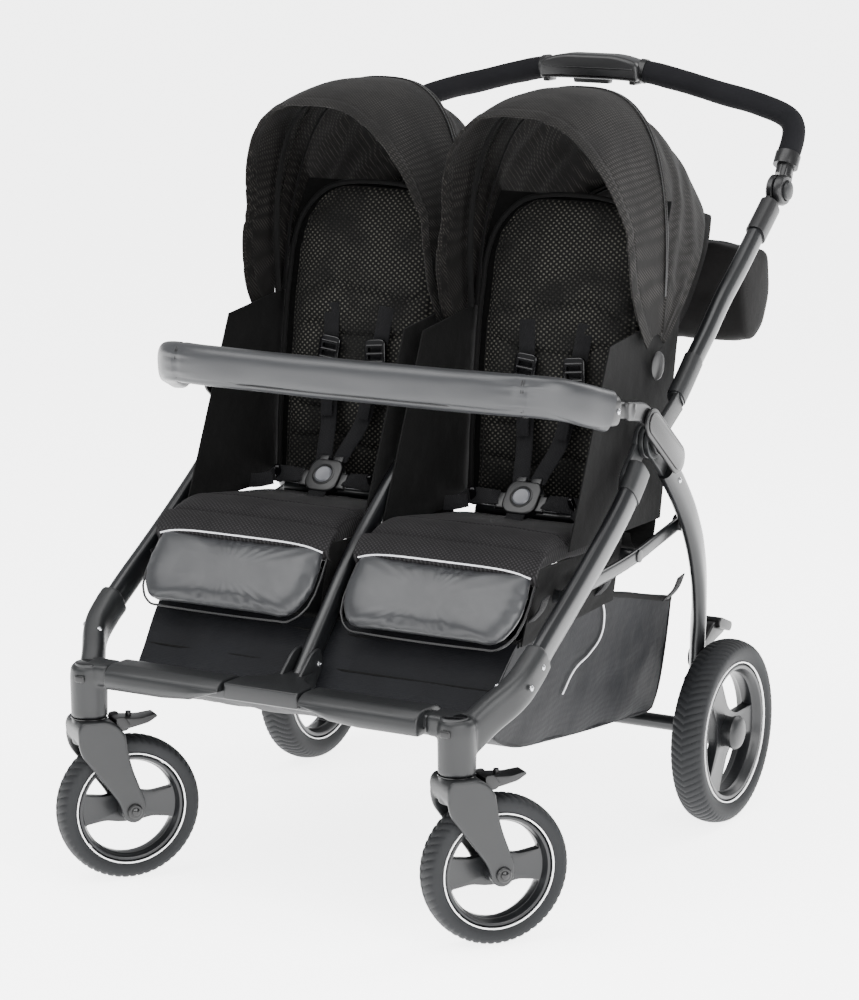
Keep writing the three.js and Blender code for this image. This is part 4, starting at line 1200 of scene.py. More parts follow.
def makeBumper():
    whole = [(-x, y, z) for x, y, z in reversed(bumper["path"][1:])] + bumper["path"]
    pad = tube(whole, bumper["depth"], bumper["height"], bumper["corner"], 22, 72)

    def sewn(p):
        # a pinch at each side seam, a welt line low along the front, and faint pulls in the cover
        move = np.zeros_like(p)
        side = np.abs(p[:, 0])
        line = flowing([(x, y, z) for x, y, z in bumper["path"]], 60)
        line = np.array([tuple(v) for v in line])
        middleY = np.interp(side, line[:, 0], line[:, 1])
        middleZ = np.interp(side, line[:, 0], line[:, 2])
        pinch = np.exp(-(((side - bumper["seam"]) / 2.2) ** 2)) * 2.2
        upper = p[:, 2] - middleZ
        outer = p[:, 1] - middleY
        size = np.maximum(np.hypot(upper, outer), 1)
        inward = pinch + np.exp(-(((upper + 19) / 1.5) ** 2)) * 1.1 * (outer < 0)
        pull = np.array([noise.noise(Vector((a * 0.012, b * 0.03, c * 0.05))) for a, b, c in p]) * 1.5
        near = np.exp(-(((side - bumper["seam"]) / 26) ** 2))
        ripple = near * np.sin(upper / 56 * 9.0 * math.pi) * 0.8
        inward += -pull * 0.6 - ripple
        move[:, 1] = -outer / size * inward
        move[:, 2] = -upper / size * inward
        return move

    nudged(pad, sewn)
    settle(pad, "bumperBar", leatherette, "bumper", "bumper_bar", angle=60, slot="leatherette")
    seams = []
    for x in (-272.6, -269.4, 269.4, 272.6):
        y = -198 if abs(x) < 271 else -197.4
        loop = []
        for a in np.linspace(0, 2 * math.pi, 41):
            c, s = math.cos(a), math.sin(a)
            loop.append((x, y + math.copysign(abs(c) ** 0.667, c) * 16.6,
                         691 + math.copysign(abs(s) ** 0.667, s) * 27.3))
        seams.append(tube(loop, 1.8, 1.8, 2, 2, 8))
    low = [(x, y - 14.9, z - 19) for x, y, z in bumper["path"][:3]]
    line = [(-x, y, z) for x, y, z in reversed(low[1:])] + low
    seams.append(tube(line, 2.0, 2.0, 2, 14, 8))
    settle(joined(*seams), "bumperSeams", blackCord, "bumper", angle=60)
    arm = tube([(333, -112, 667), (334, -92, 663), (338, -66, 659), (345, -38, 654)], 16, 25, 2.6, 6)
    knee = plate([(-60, 670, 6), (4, 660, 22), (58, 607, 10), (45, 582, 12), (32, 586, 8), (-6, 634, 24),
                  (-60, 644, 6)], 343.4, 350.4, 1.4, 8)
    collar = tube([(331, -112, 667), (334, -96, 662), (335, -78, 660)], 31, 44, 3, 5)
    eye = spun([(0, 343.2), (17, 343.2), (18, 344.2), (18, 349.4), (17, 350.4), (0, 350.4)], (0, *pivot), 48)
    settlePair(fused([arm, collar, eye, knee], 1.5, 3), "bumperArm", blackAbs, "bumper", "bumper_arm",
               slot="moulded_black", common=True)


makeJoints()
makeHandle()
makeRear()
makeBumper()
print("handle, rear frame and bumper")


def inflated(piece, pressure=4.0, cap=8.0, stiffness=12.0, frames=20):
    # the cover swells over its filling as cloth; no point moves further than the cap, in millimetres
    start = np.empty(len(piece.data.vertices) * 3)
    piece.data.vertices.foreach_get("co", start)
    take(piece)
    modifier = piece.modifiers.new("swell", "CLOTH")
    modifier.settings.quality = 5
    modifier.settings.mass = 0.25
    modifier.settings.tension_stiffness = modifier.settings.compression_stiffness = stiffness
    modifier.settings.shear_stiffness = stiffness / 2
    modifier.settings.bending_stiffness = 0.3
    modifier.settings.use_pressure = True
    modifier.settings.uniform_pressure_force = pressure
    modifier.settings.effector_weights.gravity = 0
    modifier.collision_settings.use_collision = False
    modifier.point_cache.frame_start, modifier.point_cache.frame_end = 1, frames
    for frameNumber in range(1, frames + 1):
        bpy.context.scene.frame_set(frameNumber)
    bpy.ops.object.modifier_apply(modifier=modifier.name)
    bpy.context.scene.frame_set(1)
    end = np.empty_like(start)
    piece.data.vertices.foreach_get("co", end)
    move = (end - start).reshape(-1, 3)
    size = np.linalg.norm(move, axis=1, keepdims=True)
    kept = move * np.minimum(1, cap / 1000 / np.maximum(size, 1e-9))
    piece.data.vertices.foreach_set("co", (start.reshape(-1, 3) + kept).ravel())
    piece.data.update()
    return applied(piece, "SUBSURF", levels=1)


def voxelled(piece, voxel, smooth=3):
    applied(piece, "REMESH", mode="VOXEL", voxel_size=voxel / 1000)
    return applied(piece, "CORRECTIVE_SMOOTH", factor=0.5, iterations=smooth, smooth_type="SIMPLE",
                   use_only_smooth=True)


def wander(p, scale, seed=0.0):
    # smooth noise between -1 and 1 at each place, scale in millimetres
    return np.array([noise.noise(Vector((x / scale + seed, y / scale - seed, z / scale))) for x, y, z in p])


seat = {
    "from": 19,
    "to": 301,
    "middle": 160,
    "outline": [
        (-209, 470, 10),
        (-196, 488, 14),
        (-158, 496, 30),
        (-80, 486, 60),
        (0, 474, 60),
        (50, 468, 6),
        (50, 449, 6),
        (-60, 452, 60),
        (-160, 459, 20),
        (-208, 456, 8),
    ],
}


def makeSeats():
    cushion = plate(seat["outline"], seat["from"] + 1, seat["to"] - 1, 7, 20)
    voxelled(cushion, 6)
    inflated(cushion, 3.5, 5)

    def sewn(p):
        # crown across the seat, a channel behind the front roll, and soft hollows
        share = (p[:, 0] - seat["middle"]) / 141
        top = np.clip((p[:, 2] - 462) / 20, 0, 1)
        crown = -np.abs(share) ** 3 * 5 * top
        channel = -np.exp(-(((p[:, 1] + 132 + 4 * np.cos(share * 3)) / 3.0) ** 2)) * 3.2 * top
        hollows = wander(p, 60) * 2.2 * top
        return np.stack([0 * crown, 0 * crown, crown + channel + hollows], axis=1)

    nudged(cushion, sewn)
    made = settlePair(cushion, "seatCushion", seatJacquard, "front_frame", "seat", angle=60,
                      slot="seat_fabric", common=True)
    # the front of the seat hangs from the cushion down to the leg rest's seam
    rows = []
    for s in np.linspace(0, 1, 9):
        y, z = flowing([(0, -200, 485), (0, -213, 479), (0, -223, 470), (0, -228, 460), (0, -222, 448)],
                       9)[int(round(s * 8))][1:]
        rows.append((y, z))
    rings = []
    for x in np.linspace(20, 300, 57):
        share = (x - 160) / 140
        drop = 0.5 * math.sin(x * 0.11)
        outer = [at(x, y + 3 * abs(share) ** 6 - 0.3 * drop, z - 5 * abs(share) ** 6) for y, z in rows]
        inner = [at(x, y + 3 + 3 * abs(share) ** 6, z - 2.6 - 5 * abs(share) ** 6) for y, z in reversed(rows)]
        rings.append(outer + inner)
    flap = loft(rings)
    for piece, side in zip(
        settlePair(flap, "seatFrontFlap", seatJacquard, "front_frame", angle=60, common=True),
        ("right", "left")
    ):
        piece.parent = None
        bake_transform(piece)


legRest = {"pivot": (-209, 450), "slope": 50, "length": 114, "middle": 160, "half": 140, "from": -5, "to": 21}


def legRestPlace(x, along, out):
    # a place on the leg rest from how far down it lies and how far off its board
    slope = math.radians(legRest["slope"])
    y = legRest["pivot"][0] - math.cos(slope) * along - math.sin(slope) * out
    z = legRest["pivot"][1] - math.sin(slope) * along + math.cos(slope) * out
    return at(x, y, z)


def legRestHalf(share):
    # half its width, from the seam (0) to the bottom edge (1)
    return float(np.interp(share, (0, 0.12, 0.35, 0.6, 0.78, 0.9, 0.97, 1),
                           (134, 137, 139, 139, 135, 127, 118, 111)))


def makeLegRests():
    rings = []
    middle = (legRest["from"] + legRest["to"]) / 2
    corners = [(-133, -3, 10), (133, -3, 10), (139, 36, 60), (138, 76, 40), (118, 111, 36), (-118, 111, 36),
               (-138, 76, 40), (-139, 36, 60)]
    outline = rounded(corners, 20, 8)
    sections = [(44, -9), (10, -9), (4, -8), (1, -4), (0, 0), (1, 4), (4, 7), (10, 9.5), (22, 11.5),
                (38, 12.6)]
    for inset, out in sections:
        ring = []
        for p in outline:
            x = p.x * (1 - inset / 139)
            along = 54 + (p.y - 54) * (1 - inset / 57)
            ring.append(legRestPlace(legRest["middle"] + x, along, middle + out))
        rings.append(ring)
    pad = loft(rings)
    voxelled(pad, 4.5)
    inflated(pad, 4.0, 4, 9)
    slope = math.radians(legRest["slope"])

    def sewn(p):
        # a flat edge all round where the cover is sewn, and short pulls that run in from it
        down = -(p[:, 1] - legRest["pivot"][0]) * math.cos(slope) - (p[:,
            2] - legRest["pivot"][1]) * math.sin(slope)
        out = -(p[:, 1] - legRest["pivot"][0]) * math.sin(slope) + (p[:,
            2] - legRest["pivot"][1]) * math.cos(slope)
        share = down / legRest["length"]
        across = (p[:, 0] - legRest["middle"]) / legRest["half"]
        fromEdge = np.minimum((1 - np.abs(across)) * legRest["half"],
                              np.minimum(down, legRest["length"] - down))
        near = np.exp(-np.clip(fromEdge, 0, 90) / 13)
        turn = np.arctan2(share - 0.5, across)
        pulls = np.sin(turn * 26 + 2 * np.sin(turn * 5)) * 1.1 * near
        soft = wander(p, 45, 3.0) * 1.0
        lift = (pulls + soft) * (out > 6)
        move = np.zeros_like(p)
        move[:, 1] = -math.sin(slope) * lift
        move[:, 2] = math.cos(slope) * lift
        return move

    nudged(pad, sewn)
    for piece in settlePair(pad, "calfPad", leatherette, "leg_rest", "calf_pad", angle=60,
                            slot="leatherette"):
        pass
    edge = []
    for share in np.linspace(0.03, 1, 22):
        edge.append((share, legRestHalf(share)))
    right = [legRestPlace(legRest["middle"] + h - 1.5, legRest["length"] * s - 1, 4) * 1000 for s, h in edge]
    left = [legRestPlace(legRest["middle"] - h + 1.5, legRest["length"] * s - 1, 4) * 1000 for s,
            h in reversed(edge)]
    bottom = [
        legRestPlace(legRest["middle"] + x, legRest["length"] - 0.5 + 1.5 * (1 - (x / 100) ** 2), 4) * 1000
        for x in np.linspace(96, -96, 9)
    ]
    cord = tube([p[:] for p in right + bottom + left], 3.4, 3.4, 2, 3, 10)
    settlePair(cord, "calfPadEdge", blackCord, "leg_rest", angle=60)
    seam = []
    for x in np.linspace(-132, 132, 19):
        share = abs(x) / 132
        seam.append((legRestPlace(legRest["middle"] + x, 2 + 6 * share**5, 21.4 - 7 * share**6) * 1000)[:])
    settlePair(tube(seam, 2.6, 2.6, 2, 4, 10), "seatFrontPiping", paleCord, "leg_rest", angle=60)


backrest = {
    "face": [(73, 487), (84, 600), (102, 748), (124, 850), (144, 912)],
    "thick": 30,
    "channels": [545, 596, 648, 702, 762],
}


def backFace(z):
    # how far back the front face of the back lies at a height
    return np.interp(z, [p[1] for p in backrest["face"]], [p[0] for p in backrest["face"]])


def backHalf(z):
    return np.interp(z, (487, 560, 700, 820, 862, 893, 906, 912), (126, 129, 129, 127, 118, 96, 74, 48))


def makeBackrests():
    rings = []
    for z in np.concatenate([np.linspace(488, 850, 50), np.linspace(857, 911, 13)]):
        half = backHalf(z) - 4
        y = backFace(z) + 3 + (backrest["thick"] - 6) / 2
        ring = []
        for i in range(56):
            a = 2 * math.pi * i / 56
            c, s = math.cos(a), math.sin(a)
            x = math.copysign(abs(c) ** 0.35, c) * half
            deep = math.copysign(abs(s) ** 0.7, s) * (backrest["thick"] - 8) / 2 * (1 if z < 905 else 0.7)
            ring.append(at(160 + x, y + deep, z))
        rings.append(ring)
    pad = loft(rings)
    voxelled(pad, 6)
    inflated(pad, 3.5, 5)

    def sewn(p):
        front = np.clip((backFace(p[:, 2]) + 14 - p[:, 1]) / 8, 0, 1)
        across = (p[:, 0] - 160) / 126
        sink = np.zeros(len(p))
        for n, z in enumerate(backrest["channels"]):
            wave = z + 7 * np.sin(across * 4.4 + n * 1.7) + 3 * np.sin(across * 9 + n)
            inside = np.clip((0.86 - np.abs(across)) / 0.12, 0, 1)
            sink += np.exp(-(((p[:, 2] - wave) / 4.2) ** 2)) * 5.5 * inside
            swell = np.exp(-(((p[:, 2] - wave - 24) / 14) ** 2)) * 1.8 * inside
            sink -= swell
        welt = np.exp(-(((np.abs(p[:, 0] - 160) - backHalf(p[:, 2]) + 17) / 2.4) ** 2)) * 3.5
        sink += welt + wander(p, 48, 7.0) * 2.0
        return np.stack([0 * sink, sink * front, 0 * sink], axis=1)

    nudged(pad, sewn)
    made = settlePair(pad, "backrestPad", spacerMesh, "backrest", "backrest", angle=60, slot="back_mesh")
    heights = list(np.linspace(492, 850, 12)) + [868, 885, 897, 905, 911]
    right = [(160 + backHalf(z) - 0.5, backFace(z) + 8, z) for z in heights]
    left = [(160 - backHalf(z) + 0.5, backFace(z) + 8, z) for z in reversed(heights)]
    binding = tube(right + [(160, backFace(913) + 8, 914.5)] + left, 7, 7, 2.2, 3, 12)
    settlePair(binding, "backrestBinding", liningCloth, "backrest", angle=60)
    back = plate(
        [(p[0] + backrest["thick"] - 2, p[1]) for p in backrest["face"]][::-1]
        + [(p[0] + backrest["thick"] - 5, p[1]) for p in backrest["face"]],
        19,
        301,
        0.8,
    )
    rodPiece = rod((42, 86, 466), (278, 86, 466), 7, 0.8)
    settlePair(back, "backrestBoard", liningCloth, "backrest", angle=60)
    settlePair(rodPiece, "backRod", powderCoat, "front_frame", "back_rod", common=True, slot="frame_tube")


makeSeats()
makeLegRests()
makeBackrests()
print("seats, leg rests and backrests")

hood = {"axis": (105, 692), "half": 156, "radius": 378, "power": 2.7, "middle": 160, "hem": 21}


def hoodPlace(turn, angle, inward):
    # a place on the hood: turn runs over the hoop from the middle of the stroller (0) to its outside (pi)
    c, s = math.cos(turn), math.sin(turn)
    half, radius = hood["half"] - inward, hood["radius"] - inward
    x = -half * math.copysign(abs(c) ** (2 / hood["power"]), c)
    r = radius * max(s, 0) ** (2 / hood["power"])
    a = math.radians(angle)
    return at(hood["middle"] + x, hood["axis"][0] + r * math.cos(a), hood["axis"][1] + r * math.sin(a)), r


def hoodFront(r):
    # the front edge leans further forward low down
    return 112.5 + max(0.0, 205 - r) * 0.18


def hoodSheet(fromAngle, toAngle, wall, inward, turns, across, shape):
    # a closed sheet over the hoops; shape gives how far a place sinks
    rings = []
    for k in range(turns):
        turn = math.pi * (0.018 + 0.964 * k / (turns - 1))
        radius = hoodPlace(turn, 90, inward)[1]
        last = toAngle(radius) if callable(toAngle) else toAngle
        outer, inner = [], []
        for i in range(across):
            share = i / (across - 1)
            angle = fromAngle + (last - fromAngle) * share
            sink, thick = shape(turn, angle, share, last, radius)
            thick = thick * wall
            outer.append(hoodPlace(turn, angle, inward + sink)[0])
            inner.append(hoodPlace(turn, angle, inward + sink + thick)[0])
        rings.append(outer + list(reversed(inner)))
    return loft(rings)


def makeHoods():
    def frontShape(turn, angle, share, last, radius):
        fromFront = math.radians(last - angle) * max(radius, 40)
        sag = 2.6 * math.sin(math.pi * min(share / 0.9, 1)) * min(1, radius / 240)
        length = turn * 300
        crease = noise.noise(Vector((length / 42, fromFront / 70, 1.5))) * 1.3
        seam = 1.1 * math.exp(-(((fromFront - hood["hem"]) / 1.8) ** 2))
        hem = -1.2 if fromFront < hood["hem"] else 0
        tuck = 1.8 * math.exp(-((((length + 8 * math.sin(length * 0.13)) % 47 - 23)
                                 / 3.0) ** 2)) * (fromFront < hood["hem"])
        rib = -2.2 * math.exp(-((share * (last - 78) * 6.2 / 9) ** 2))
        edge = 1 if 3 < fromFront else 0.35
        return max(-1.6, sag + crease + seam + hem + tuck + rib + 0.6), (1.9 if fromFront < hood["hem"]
            else 1) * edge

    front = hoodSheet(77.5, hoodFront, 2.4, 0, 150, 62, frontShape)

    def rearShape(turn, angle, share, last, radius):
        sag = 4.5 * math.sin(math.pi * share) * min(1, radius / 240)
        fold = 3.5 * math.sin(angle * 0.5 + noise.noise(Vector((turn * 2, angle / 14, 4))) * 4) * min(1,
            radius / 200)
        fine = noise.noise(Vector((turn * 7, angle / 7, 9))) * 2.0
        return max(0.0, sag + fold * 0.4 * math.sin(math.pi * share) + fine * 0.6 + 1), 1

    rear = hoodSheet(36, 88, 2.4, 6.4, 130, 52, rearShape)
    for piece in settlePair(front, "hoodFront", hoodMesh, "canopy", "canopy_front", angle=60,
                            slot="hood_fabric"):
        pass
    for piece in settlePair(rear, "hoodRear", hoodMesh, "front_frame", "canopy_rear", angle=60,
                            slot="hood_fabric", common=True):
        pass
    hoops = []
    for angle, inward, size in ((98, 21, 9), (84, 21, 8)):
        line = [(hoodPlace(math.pi * t, angle, inward)[0] * 1000)[:] for t in np.linspace(0.03, 0.97, 30)]
        hoops.append(tube(line, size, 3.6, 2.4, 3, 14))
    settlePair(joined(*hoops), "hoodHoops", liningCloth, "canopy", angle=60)
    line = [(hoodPlace(math.pi * t, 37, 21)[0] * 1000)[:] for t in np.linspace(0.03, 0.97, 30)]
    settlePair(tube(line, 9, 3.6, 2.4, 3, 14), "hoodRearHoop", liningCloth, "front_frame", angle=60,
               common=True)
    cords = []
    for angle, lift in ((79.4, -0.6), (77.9, -0.6)):
        line = [(hoodPlace(math.pi * t, angle, lift)[0] * 1000)[:] for t in np.linspace(0.05, 0.95, 48)]
        cords.append(tube(line, 2.2, 2.2, 2, 3, 8))
    settlePair(joined(*cords), "hoodRibStitch", blackCord, "canopy", angle=60)
    discs = []
    for x in (hood["middle"] - hood["half"] + 1.6, hood["middle"] + hood["half"] - 1.6):
        discs.append(spun([(0, x - 1.5), (18, x - 1.5), (20, x - 0.6), (20, x + 0.6), (18, x + 1.5),
                           (0, x + 1.5)], (0, *hood["axis"]), 48))
    settlePair(joined(*discs), "hoodPivots", blackAbs, "canopy", angle=35)
    # the toggle that holds the hood's inner corner
    knob = ball((hood["middle"] - hood["half"] + 5.5, 4, 668), 5.2)
    settlePair(knob, "hoodToggle", rivetSteel, "front_frame", angle=60, common=True)


makeHoods()
print("hoods")

basket = {
    "rim": [(-240, 364), (-150, 374), (-60, 383), (-10, 384), (60, 372), (150, 350), (236, 330)],
    "floor": [(-322, 274), (-290, 254), (-211, 216), (-90, 198), (27, 182), (140, 170), (246, 158)],
    "halfTop": 286,
    "halfLow": 236,
    "wall": 3,
}


def basketHalf(z):
    return float(basket["halfLow"] + (basket["halfTop"] - basket["halfLow"]) * math.sqrt(max(0.0,
        (z - 150) / 240)))


def makeBasket():
    # one sewn tub: rings across the stroller, from the front lip down, along the floor and up the back
    wall = basket["wall"]
    spineSteps, acrossSteps, rimSteps, dropSteps = 96, 61, 64, 26
    line = [(0, y, z) for y, z in [(-240, 366), (-262, 345), (-292, 310), (-319, 278), (-300, 257),
                                   (-211, 217), (-90, 198), (27, 183), (140, 171), (236, 160), (247, 178),
                                   (243, 250), (238, 328)]]
    spine = flowing([at(*p) for p in line], spineSteps)
    rings = []
    for k, place in enumerate(spine):
        y, z = place.y * 1000, place.z * 1000
        ahead = spine[min(k + 1, spineSteps - 1)] - spine[max(k - 1, 0)]
        normal = Vector((0, -ahead.z, ahead.y)).normalized()
        half = basketHalf(z) - 2
        outer, inner = [], []
        for x in np.linspace(-1, 1, acrossSteps):
            ripple = noise.noise(Vector((x * 5, k * 0.06, 2))) * 3 + noise.noise(Vector((x * 14, k * 0.12,
                6))) * 1.2
            lift = -2 + ripple * (1 - x**8)
            spot = at(x * half, y, z) + normal * (lift / 1000)
            outer.append(spot)
            inner.append(spot + normal * (wall / 1000))
        rings.append(outer + list(reversed(inner)))
    tub = loft(rings)
    rim = flowing([at(0, *p) for p in basket["rim"]], rimSteps)
    low = flowing([at(0, *p) for p in basket["floor"]], rimSteps)
    outerRings = []
    for k in range(rimSteps):
        a, b = rim[k], low[k]
        outer, inner = [], []
        for s in np.linspace(0, 1, dropSteps):
            spot = a.lerp(b, s)
            y, z = spot.y * 1000, spot.z * 1000
            bulge = noise.noise(Vector((y / 60, z / 45, 3))) * 5 * math.sin(math.pi * s) ** 0.6
            drape = math.sin(y / 23 + s * 2.2) * 1.8 * s
            x = basketHalf(z) - 1 + min(0, bulge) * 0.8 + drape * 0.6 - 1.5
            outer.append(at(x, y, z))
            inner.append(at(x - wall, y, z))
        outerRings.append(outer + list(reversed(inner)))
    side = loft(outerRings)
    whole = joined(tub, side, twin(side))
    made = settle(whole, "basketTub", basketCloth, "front_frame", "basket", angle=60, slot="basket_fabric")
    binding = []
    for half in (1, -1):
        top = [(half * (basketHalf(z) - 2.5), y, z + 1) for y, z in basket["rim"]]
        binding.append(tube(top, 6, 9, 2.6, 6, 12))
    binding.append(tube([(x, -240, 367) for x in np.linspace(-280, 280, 7)], 6, 9, 2.6, 4, 12))
    binding.append(tube([(x, 237, 330 - 8 * (1 - (x / 280) ** 2)) for x in np.linspace(-276, 276, 7)], 6, 9,
                        2.6, 4, 12))
    settle(joined(*binding), "basketBinding", liningCloth, "front_frame", angle=60)
    # reflective line down the side panel
    curve = [(1, 379), (14, 352), (12, 326), (-16, 306), (-62, 290), (-88, 262)]
    points = [(basketHalf(z) + 0.4, y, z) for y, z in curve]
    settlePair(tube(points, 2.4, 2.4, 2, 8, 10), "basketPiping", paleCord, "front_frame", angle=60,
               common=True)
    band = []
    for x in np.linspace(-266, 266, 3):
        band.append((x, -262, 345))
    hem = tube([(x, -255 - 2 * math.cos(x / 60), 352) for x in np.linspace(-274, 274, 9)], 2.6, 3.4, 2, 6, 10)
    low = tube([(x, -291.5, 312) for x in np.linspace(-270, 270, 9)], 2.4, 3.0, 2, 6, 10)
    settle(joined(hem, low), "basketSeams", liningCloth, "front_frame", angle=60)
    hooks = []
    for y, z in ((-212, 404), (-18, 400), (206, 350)):
        hooks.append(ribbon([(284, y, z - 14), (300, y, z + 4), (309, y - 2, z + 24)], [(1, 0, 0.2)] * 3,
                            24, 2, 8))
    settlePair(joined(*hooks), "basketStraps", webbing, "front_frame", angle=60, common=True)


pouch = {"half": 284}


def makePouch():
    # a bag hung across the handle tubes, that sags between its straps
    rings = []
    loop = [(450, 822), (440, 806), (446, 740), (462, 676), (484, 660), (512, 660), (540, 680), (560, 722),
            (566, 760), (556, 800), (520, 814)]
    for x in np.linspace(-1, 1, 81):
        half = pouch["half"]
        end = abs(x) ** 10
        ring = []
        centre = Vector((0, 0.505, 0.742))
        for p in flowing([(0, y / 1000, z / 1000) for y, z in loop], 56, True):
            away = p - centre
            sag = 14 * math.cos(x * math.pi * 1.5) * max(0, -away.z) * 8
            crease = noise.noise(Vector((x * 6, p.y * 22, p.z * 22))) * 5 + noise.noise(Vector((x * 16,
                p.y * 8, p.z * 40))) * 2
            size = 1 - 0.12 * end + (crease - 4) / 100
            spot = centre + away * size
            ring.append(Vector((x * half / 1000, spot.y, spot.z - sag / 1000 * 0.4)))
        rings.append(ring)
    bag = loft(rings)
    applied(bag, "SUBSURF", levels=1)
    made = settle(bag, "rearPouch", hoodCloth, "front_frame", "rear_pouch", angle=60, slot="basket_fabric")
    flaps = [tube([(x, 452 + 104 * s, 824 - 16 * s) for s in np.linspace(0, 1, 4)], 20, 2.6, 3, 4,
                  12) for x in (-160, 160)]
    settle(joined(*flaps), "pouchTrim", liningCloth, "front_frame", angle=60)


def sidePanel(corners, wall, wobble, seed, rows=34, columns=40):
    # a hanging cloth between four corners, slightly slack
    a, b, c, d = (at(*p) for p in corners)
    normal = (b - a).cross(d - a).normalized()
    rings = []
    for i in range(rows):
        v = i / (rows - 1)
        front, back = [], []
        for k in range(columns):
            u = k / (columns - 1)
            spot = (a.lerp(b, u)).lerp(d.lerp(c, u), v)
            inside = math.sin(math.pi * u) * math.sin(math.pi * v)
            wave = noise.noise(Vector((u * 4 + seed, v * 3, seed))) + 0.5 * noise.noise(Vector((u * 11,
                v * 9 + seed, 2)))
            spot = spot + normal * (wobble * (inside**0.4) * wave / 1000)
            front.append(spot + normal * (wall / 2000))
            back.append(spot - normal * (wall / 2000))
        rings.append(front + list(reversed(back)))
    return loft(rings)


def makeSeatFrame():
    bars = [
        rod((-318, 52, 433), (318, 52, 433), 9, 0.8),
        rod((-318, -150, 414), (318, -150, 414), 9, 0.8),
    ]
    for side in (-1, 1):
        bars.append(tube([(side * 312, -176, 420), (side * 312, -60, 424), (side * 312, 52, 433),
                          (side * 312, 120, 444), (side * 312, 188, 455)], 8, 20, 2.6, 6))
        bars.append(rod((side * 305.5, 188, 455), (side * 321, 188, 455), 12, 1.2))
    settle(joined(*bars), "seatBaseFrame", powderCoat, "front_frame", "seat_base_frame", slot="frame_tube")
    # cloth sides of each seat, from the cushion up towards the backrest, and the wall between the seats
    outer = sidePanel([(304, -140, 474), (304, 140, 470), (304, 196, 760), (304, -24, 735)], 2.0, 1.6, 1.5)
    for piece in settlePair(outer, "seatSideCloth", liningCloth, "front_frame", angle=60, common=True):
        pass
    inner = sidePanel([(15, -140, 474), (15, 140, 470), (15, 196, 760), (15, -24, 735)], 2.0, 1.4, 4.5)
    skirt = sidePanel([(292, -208, 462), (292, 44, 456), (286, 30, 372), (284, -236, 362)], 2.0, 3, 8.5)
    within = sidePanel([(27, -208, 462), (27, 44, 456), (27, 30, 376), (27, -236, 364)], 2.0, 3, 3.5)
    for piece in settlePair(within, "seatInnerSkirt", liningCloth, "front_frame", angle=60, common=True):
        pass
    for piece in settlePair(skirt, "seatSkirt", liningCloth, "front_frame", angle=60, common=True):
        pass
    for piece in settlePair(inner, "seatDividerCloth", liningCloth, "front_frame", angle=60, common=True):
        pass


def makeGussets():
    # under the hinge of each backrest
    line = [(0, 48, 466), (0, 54, 452), (0, 70, 440), (0, 98, 436), (0, 122, 448), (0, 130, 470)]
    spine = [(p.y, p.z) for p in flowing(line, 26)]
    rings = []
    for x in np.linspace(17, 303, 42):
        top = [at(x, y, z + math.sin(x / 17) * 0.8) for y, z in spine]
        low = [at(x, y + 0.8, z - 2 + math.sin(x / 17) * 0.8) for y, z in reversed(spine)]
        rings.append(top + low)
    for piece in settlePair(loft(rings), "backGusset", liningCloth, "front_frame", angle=60, common=True):
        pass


def makeHoodCurtains():
    # the cloth from each hood's rear edge to the line of the handle tubes and the pouch
    targets = ((0, 0.12, 0.22, 0.34, 0.5, 0.66, 0.78, 0.88, 1),
               (118, 240, 338, 430, 446, 430, 338, 240, 118), (694, 752, 818, 862, 842, 862, 818, 752, 694))
    rings = []
    for k in range(91):
        u = k / 90
        turn = math.pi * (0.02 + 0.96 * u)
        top, radius = hoodPlace(turn, 37, 11)
        x = top.x * 1000
        low = at(x, np.interp(u, targets[0], targets[1]), np.interp(u, targets[0], targets[2]))
        if radius < 120:
            low = top.lerp(low, max(0.15, radius / 120))
        outer, inner = [], []
        for i in range(22):
            share = i / 21
            spot = top.lerp(low, share)
            hollow = 10 * math.sin(math.pi * share) * min(1, radius / 200)
            wave = noise.noise(Vector((u * 9, share * 2.5, 5))) * 5 * math.sin(math.pi * share)
            inward = Vector((160 / 1000 - spot.x, -0.1, -0.05)).normalized()
            outer.append(spot + inward * ((hollow + wave) / 1000))
            inner.append(spot + inward * ((hollow + wave + 2.2) / 1000))
        rings.append(outer + list(reversed(inner)))
    for piece in settlePair(loft(rings), "hoodCurtain", hoodCloth, "front_frame", angle=60, common=True):
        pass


harness = {"width": 25, "thick": 1.8, "buckle": (160, 2, 506), "tilt": 48}


